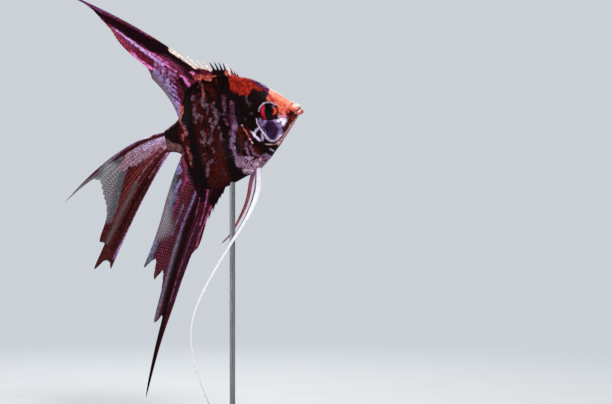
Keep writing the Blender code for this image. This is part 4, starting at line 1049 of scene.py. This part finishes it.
def fin_material(name, fin):
    """A marked web between paler rays, see-through where it is thin."""
    made, tree = new_material(name)
    clearness, ray_hold = fin["clearness"]
    wander, tone = noise(tree, 2.2, 3, 0.6), noise(tree, 1.3, 4, 0.65)
    colour = marked_colour(fin["base"], fin["marks"], wander, tone)
    ray, run, glassy = (attribute(tree, key) for key in ("ray", "run", "clear"))
    spot = spot_mask(tree, run)
    colour = blend(spot * 0.7, colour, fin["spot_colour"])
    bright = blend(glassy, colour.tinted(1.3, PINKISH), fin["ray_colour"])
    colour = blend(ray.ranged(0.15, 0.9), colour.scaled(0.72), bright)
    gone = glassy * clearness * ray.ranged(0.1, 0.9, 1, ray_hold)
    alpha = (gone * spot.ranged(0, 1, 1, 0.4)).maths("MULTIPLY_ADD", -1, 1)
    joint = (run * (TURN / JOINT_PITCH)).sine()
    height = joint * (ray * 0.5) + noise(tree, 0.5, 2)
    return finished(made, Base_Color=colour, Alpha=alpha, Roughness=0.42, Specular_IOR_Level=0.05,
                    Specular_Tint=(1, 0.75, 0.85, 1), Normal=bump(height, 0.03))


def ribbon_piece(name, node, table, material, knot=None):
    """A pelvic fin: a soft flattened strand with fine rays along it, drawn out to a point."""
    table = np.array(table)
    run = run_along(table[:, :3])
    along = np.linspace(0, 1, PELVIC_SAMPLES)[:, None]
    path = curve(np.column_stack([run / run[-1], table]), along[:, 0])
    heading = np.gradient(path[:, [0, 2]], axis=0)
    heading /= np.linalg.norm(heading, axis=1)[:, None]
    swell = 1 + (0.45 * bell((along - knot) * run[-1], 0.8) if knot else 0)
    thick = curve(PELVIC_HALF_THICK, along[:, 0]) * swell
    wide = path[:, 3:] * (1 - step(0.985, 1, along) * 0.75) * swell
    turn = -TURN * np.arange(PELVIC_SIDES) / PELVIC_SIDES
    across = np.cos(turn)
    flutes = 1 + 0.16 * (1 - along) * np.cos(12 * np.arccos(np.clip(across, -1, 1)))
    out = np.sin(turn) * thick * flutes * (1 - 0.25 * across**2)
    s = path[:, :1] - heading[:, 1:] * across * wide
    h = path[:, 2:3] + heading[:, :1] * across * wide
    rings = np.stack([s, path[:, 1:2] + out, h], axis=-1)
    vertices = np.vstack([path[0, :3], rings.reshape(-1, 3), path[-1, :3]])
    values = {"across": np.concatenate([[0], np.tile(across, PELVIC_SAMPLES), [0]]),
              "along": np.concatenate([[0], np.repeat(along, PELVIC_SIDES), [1]])}
    faces = tube_faces(PELVIC_SAMPLES, PELVIC_SIDES)
    return make_piece(name, vertices, faces, material, (node,), values)


def ribbon_material(name, main, line, root):
    """A strand between its two main colours, streaked along its rays. The line is a darker one down
    an edge: how far across it starts, where along it fades from and to, and its colour. The root is
    how far along its streaks go, and their colour."""
    made, tree = new_material(name)
    edge, fade_from, fade_to, line_colour = line
    across, along = attribute(tree, "across"), attribute(tree, "along")
    tone = noise(tree, 1.4, 4, 0.6)
    side = (across + tone * 0.5).ranged(edge + 0.2, edge + 0.34)
    colour = blend(tone.ranged(0.3, 0.7), *main)
    colour = blend(side * along.ranged(fade_from, fade_to, 1, 0), colour, line_colour)
    streak = (across * 19).sine()
    colour = blend(streak.ranged(0.1, 0.8) * along.ranged(0, root[0], 1, 0), colour, root[1])
    return finished(made, Base_Color=colour, Roughness=0.32, Specular_IOR_Level=0.4,
                    Coat_Weight=0.2, Coat_Roughness=0.1,
                    Normal=bump(noise(tree, 0.6, 2) + streak, 0.04))


def turned(first, second, angle):
    """Two coordinates after a turn in their plane."""
    return (first * math.cos(angle) - second * math.sin(angle),
            first * math.sin(angle) + second * math.cos(angle))


def on_flank(side):
    """Moves a pectoral fin, drawn flat about its root, to its place on that side of the body."""
    def place(points):
        x, z = turned(-points[..., 0], points[..., 2], PECTORAL_DROOP)
        x, y = turned(x, points[..., 1], -side * PECTORAL_FLARE)
        return np.stack([PECTORAL_AT[0] - x, side * PECTORAL_OUT + y, PECTORAL_AT[1] + z], axis=-1)
    return place


def make_fins():
    """The unpaired fins, the pectoral fins and the feelers."""
    unpaired = {"dorsal_fin": DORSAL_FIN, "anal_fin": ANAL_FIN, "caudal_fin": CAUDAL_FIN}
    for name, fin in unpaired.items():
        fin_piece(f"{name}_rays", name, fin, fin_material(f"{name}_web", fin))
    material = fin_material("pectoral_web", PECTORAL_FIN)
    for tag, side in (("right", -1), ("left", 1)):
        fin_piece(f"pectoral_rays_{tag}", f"pectoral_fin_{tag}", PECTORAL_FIN,
                  material, on_flank(side), PECTORAL_COLUMNS, PECTORAL_ROWS)
    white = ribbon_material("white_feeler", ((860, 840, 930), (980, 970, 1000)),
                            (0.45, 0.12, 0.5, (90, 20, 90)), (0.16, (300, 120, 340)))
    dark = ribbon_material("dark_feeler", ((160, 12, 30), (460, 50, 120)),
                           (0.3, 0.3, 1.3, (20, 2, 6)), (0.3, (500, 160, 360)))
    ribbon_piece("feeler_right", "pelvic_fin_right", PELVIC_RIGHT, white, 0.525)
    ribbon_piece("feeler_left", "pelvic_fin_left", PELVIC_LEFT, dark)


# Eyes


EYE_RINGS, EYE_SECTORS = 40, 96
EYE_BASE = ((180, 1, 6), (600, 6, 20))
EYE_MARKS = (
    ("ember", (500, 15, 10), (740, 90, 35), 0.3, 0.12, (1.5, 13.9, 3.9, 13.7, 2.6, 14.1, 1.2)),
    ("bar", (2, 0.6, 1), (12, 1, 2), 0.3, 0.1, (2.4, 18.2, 7.6, 15.6, 6.4),
     (2.8, 15.6, 7, 13.6, 5.4), (2.6, 18, 0.6, 18.2, -1.6), (2, 16.6, -1.2, 13.8, 0)),
    ("pupil", (0.5, 0.4, 0.5), (1, 0.6, 0.8), 0.3, 0.06, (5.4, 17, 3.4), (4.3, 16.6, 5.6, 17.6, 1)),
    ("rim", (20, 4, 12), (60, 12, 30), 0.1, 0.06, (0.6, *arc(EYE_CENTRE, 5.05, 0, 360, 49))),
    ("glint", (260, 120, 240), (660, 440, 620), 0.1, 0.06, (0.4, *arc(EYE_CENTRE, 4.85, 25, 150))),
)


def make_eye(name, side, node, material):
    """An eyeball: a flattened ball with a low clear dome over the pupil."""
    turns = np.linspace(0, TURN, EYE_SECTORS, endpoint=False)
    tilt = np.linspace(0, math.pi, EYE_RINGS + 2)[1:-1, None]
    r, out = EYE_RADIUS * np.sin(tilt), EYE_HALF_DEPTH * np.cos(tilt)
    out = out + np.where(out > 0, EYE_DOME * np.exp(-((r / 2.3) ** 4)), 0)
    (s, h), far = EYE_CENTRE, EYE_OUT + EYE_HALF_DEPTH + EYE_DOME
    y = side * (EYE_OUT + out) + 0 * turns
    rings = np.stack([s + r * np.cos(turns), y, h + r * np.sin(turns)], axis=-1)
    vertices = np.vstack([(s, side * far, h), rings.reshape(-1, 3),
                          (s, side * (EYE_OUT - EYE_HALF_DEPTH), h)])
    values = mark_values(EYE_MARKS, vertices[:, 0], vertices[:, 2])
    turn = np.arctan2(vertices[:, 2] - h, vertices[:, 0] - s)
    values["fibres"] = 0.5 + 0.3 * np.sin(23 * turn) + 0.2 * np.sin(41 * turn + 1)
    faces = tube_faces(EYE_RINGS, EYE_SECTORS)
    return make_piece(name, vertices, faces, material, (node,), values)


def make_eyes():
    """Both eyeballs, with one iris material."""
    made, tree = new_material("iris")
    fibres = attribute(tree, "fibres") * 0.25 + noise(tree, 0.8, 3) * 0.75
    colour = marked_colour(EYE_BASE, EYE_MARKS, noise(tree, 1.2, 3), fibres)
    material = finished(made, Base_Color=colour, Roughness=0.3, Coat_Weight=0.1,
                        Coat_Roughness=0.04, Specular_IOR_Level=0.06)
    for tag, side in (("right", -1), ("left", 1)):
        make_eye(f"eyeball_{tag}", side, f"eye_{tag}", material)


# Stand


def wood_material():
    """Polished dark wood."""
    made, tree = new_material("walnut")
    pores = noise(tree, 1.2, 3, 0.6, (0.06, 1, 1))
    grain = noise(tree, 9, 5, 0.6, (0.12, 1, 1)) * 0.75 + noise(tree, 60, 2) * 0.25
    colour = blend(grain.ranged(0.36, 0.62), (35, 15, 8), (160, 75, 35))
    colour = blend(pores.ranged(0.58, 0.72, 0, 0.6), colour, (18, 8, 5))
    return finished(made, Base_Color=colour, Roughness=0.35, Coat_Weight=0.35, Coat_Roughness=0.2,
                    Normal=bump(pores, 0.05))


def metal_material():
    """Brushed metal."""
    made, tree = new_material("brushed_steel")
    lines = noise(tree, 0.25, 3, 0.6, (1, 1, 0.03))
    colour = blend(lines.ranged(0.3, 0.7), (200, 205, 215), (360, 365, 380))
    return finished(made, Base_Color=colour, Roughness=lines.ranged(0.3, 0.7, 0.22, 0.38),
                    Metallic=1, Normal=bump(lines, 0.01, 0.4))


def finish_stand():
    """The stand keeps its solids and takes these materials."""
    wood, metal = wood_material(), metal_material()
    for node, material in (("stand_board", wood), ("stand_rod", metal), ("stand_collar", metal)):
        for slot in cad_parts[node].material_slots:
            slot.link = "OBJECT"
            slot.material = material


# Studio


def make_camera():
    """A level camera, as in the photo."""
    data = bpy.data.cameras.new("camera")
    data.lens, data.sensor_width = CAMERA_LENS, SENSOR
    data.clip_start, data.clip_end = 0.05, 50
    made = new_object("camera", data)
    x, y, z = CAMERA_TARGET
    made.location = (x + CAMERA_DISTANCE * math.sin(CAMERA_TURN),
                     y - CAMERA_DISTANCE * math.cos(CAMERA_TURN), z)
    made.rotation_euler = (math.radians(90), 0, CAMERA_TURN)
    bpy.context.scene.camera = made


def make_light(name, place, size, power, colour=(1, 1, 1)):
    """A round light that faces the middle of the fish."""
    data = bpy.data.lights.new(name, "AREA")
    data.shape, data.size, data.energy, data.color = "DISK", size, power, colour
    made = new_object(name, data)
    made.location = place
    heading = np.array((0, 0, 0.15)) - place
    x, y, z = heading / np.linalg.norm(heading)
    made.rotation_euler = (math.acos(-z), 0, math.atan2(x, -y) + math.pi)


def make_floor():
    """A pale round floor that fades into the backdrop with distance."""
    made, tree = new_material("floor")
    away = Wire(tree, "VectorMath", {0: object_place(tree)}, "Value", operation="LENGTH")
    tint = blend(noise(tree, 40, 3), (740, 760, 780), (800, 820, 840))
    finished(made, Base_Color=tint, Roughness=0.7, Specular_IOR_Level=0.2)
    glow = Wire(tree, "Emission", {"Color": BACKDROP, "Strength": 1})
    fade = Wire(tree, "MixShader", {0: away.ranged(0.12, 0.8), 2: glow})
    tree.links.new(tree.nodes["Principled BSDF"].outputs[0], fade.output.node.inputs[1])
    plug(tree.nodes["Material Output"], {"Surface": fade})
    turns = TURN * np.arange(FLOOR_SIDES) / FLOOR_SIDES
    ring = [(FLOOR_RADIUS * math.cos(a), FLOOR_RADIUS * math.sin(a), -FLOOR_DROP) for a in turns]
    mesh = bpy.data.meshes.new("floor")
    mesh.from_pydata(ring, [], [tuple(range(FLOOR_SIDES))])
    mesh.materials.append(made)
    floor = new_object("floor", mesh)


def make_studio():
    """An even backdrop, three soft lights and the floor."""
    world = bpy.data.worlds.new("studio")
    world.use_nodes = True
    seen = Wire(world.node_tree, "LightPath", output="Is Camera Ray")
    strength = seen.ranged(0, 1, AMBIENT, 1, "LINEAR")
    plug(world.node_tree.nodes["Background"], {"Color": BACKDROP, "Strength": strength})
    bpy.context.scene.world = world
    bpy.context.scene.view_settings.view_transform = "Standard"
    make_light("key", (0.55, -0.85, 0.95), 0.45, 12, (1, 0.97, 0.93))
    make_light("fill", (-0.9, -0.7, 0.35), 0.6, 3.2, (0.93, 0.96, 1))
    make_light("rim", (-0.35, 0.9, 0.7), 0.5, 6)
    make_floor()


make_camera()
make_studio()
make_body()
make_fins()
make_eyes()
finish_stand()

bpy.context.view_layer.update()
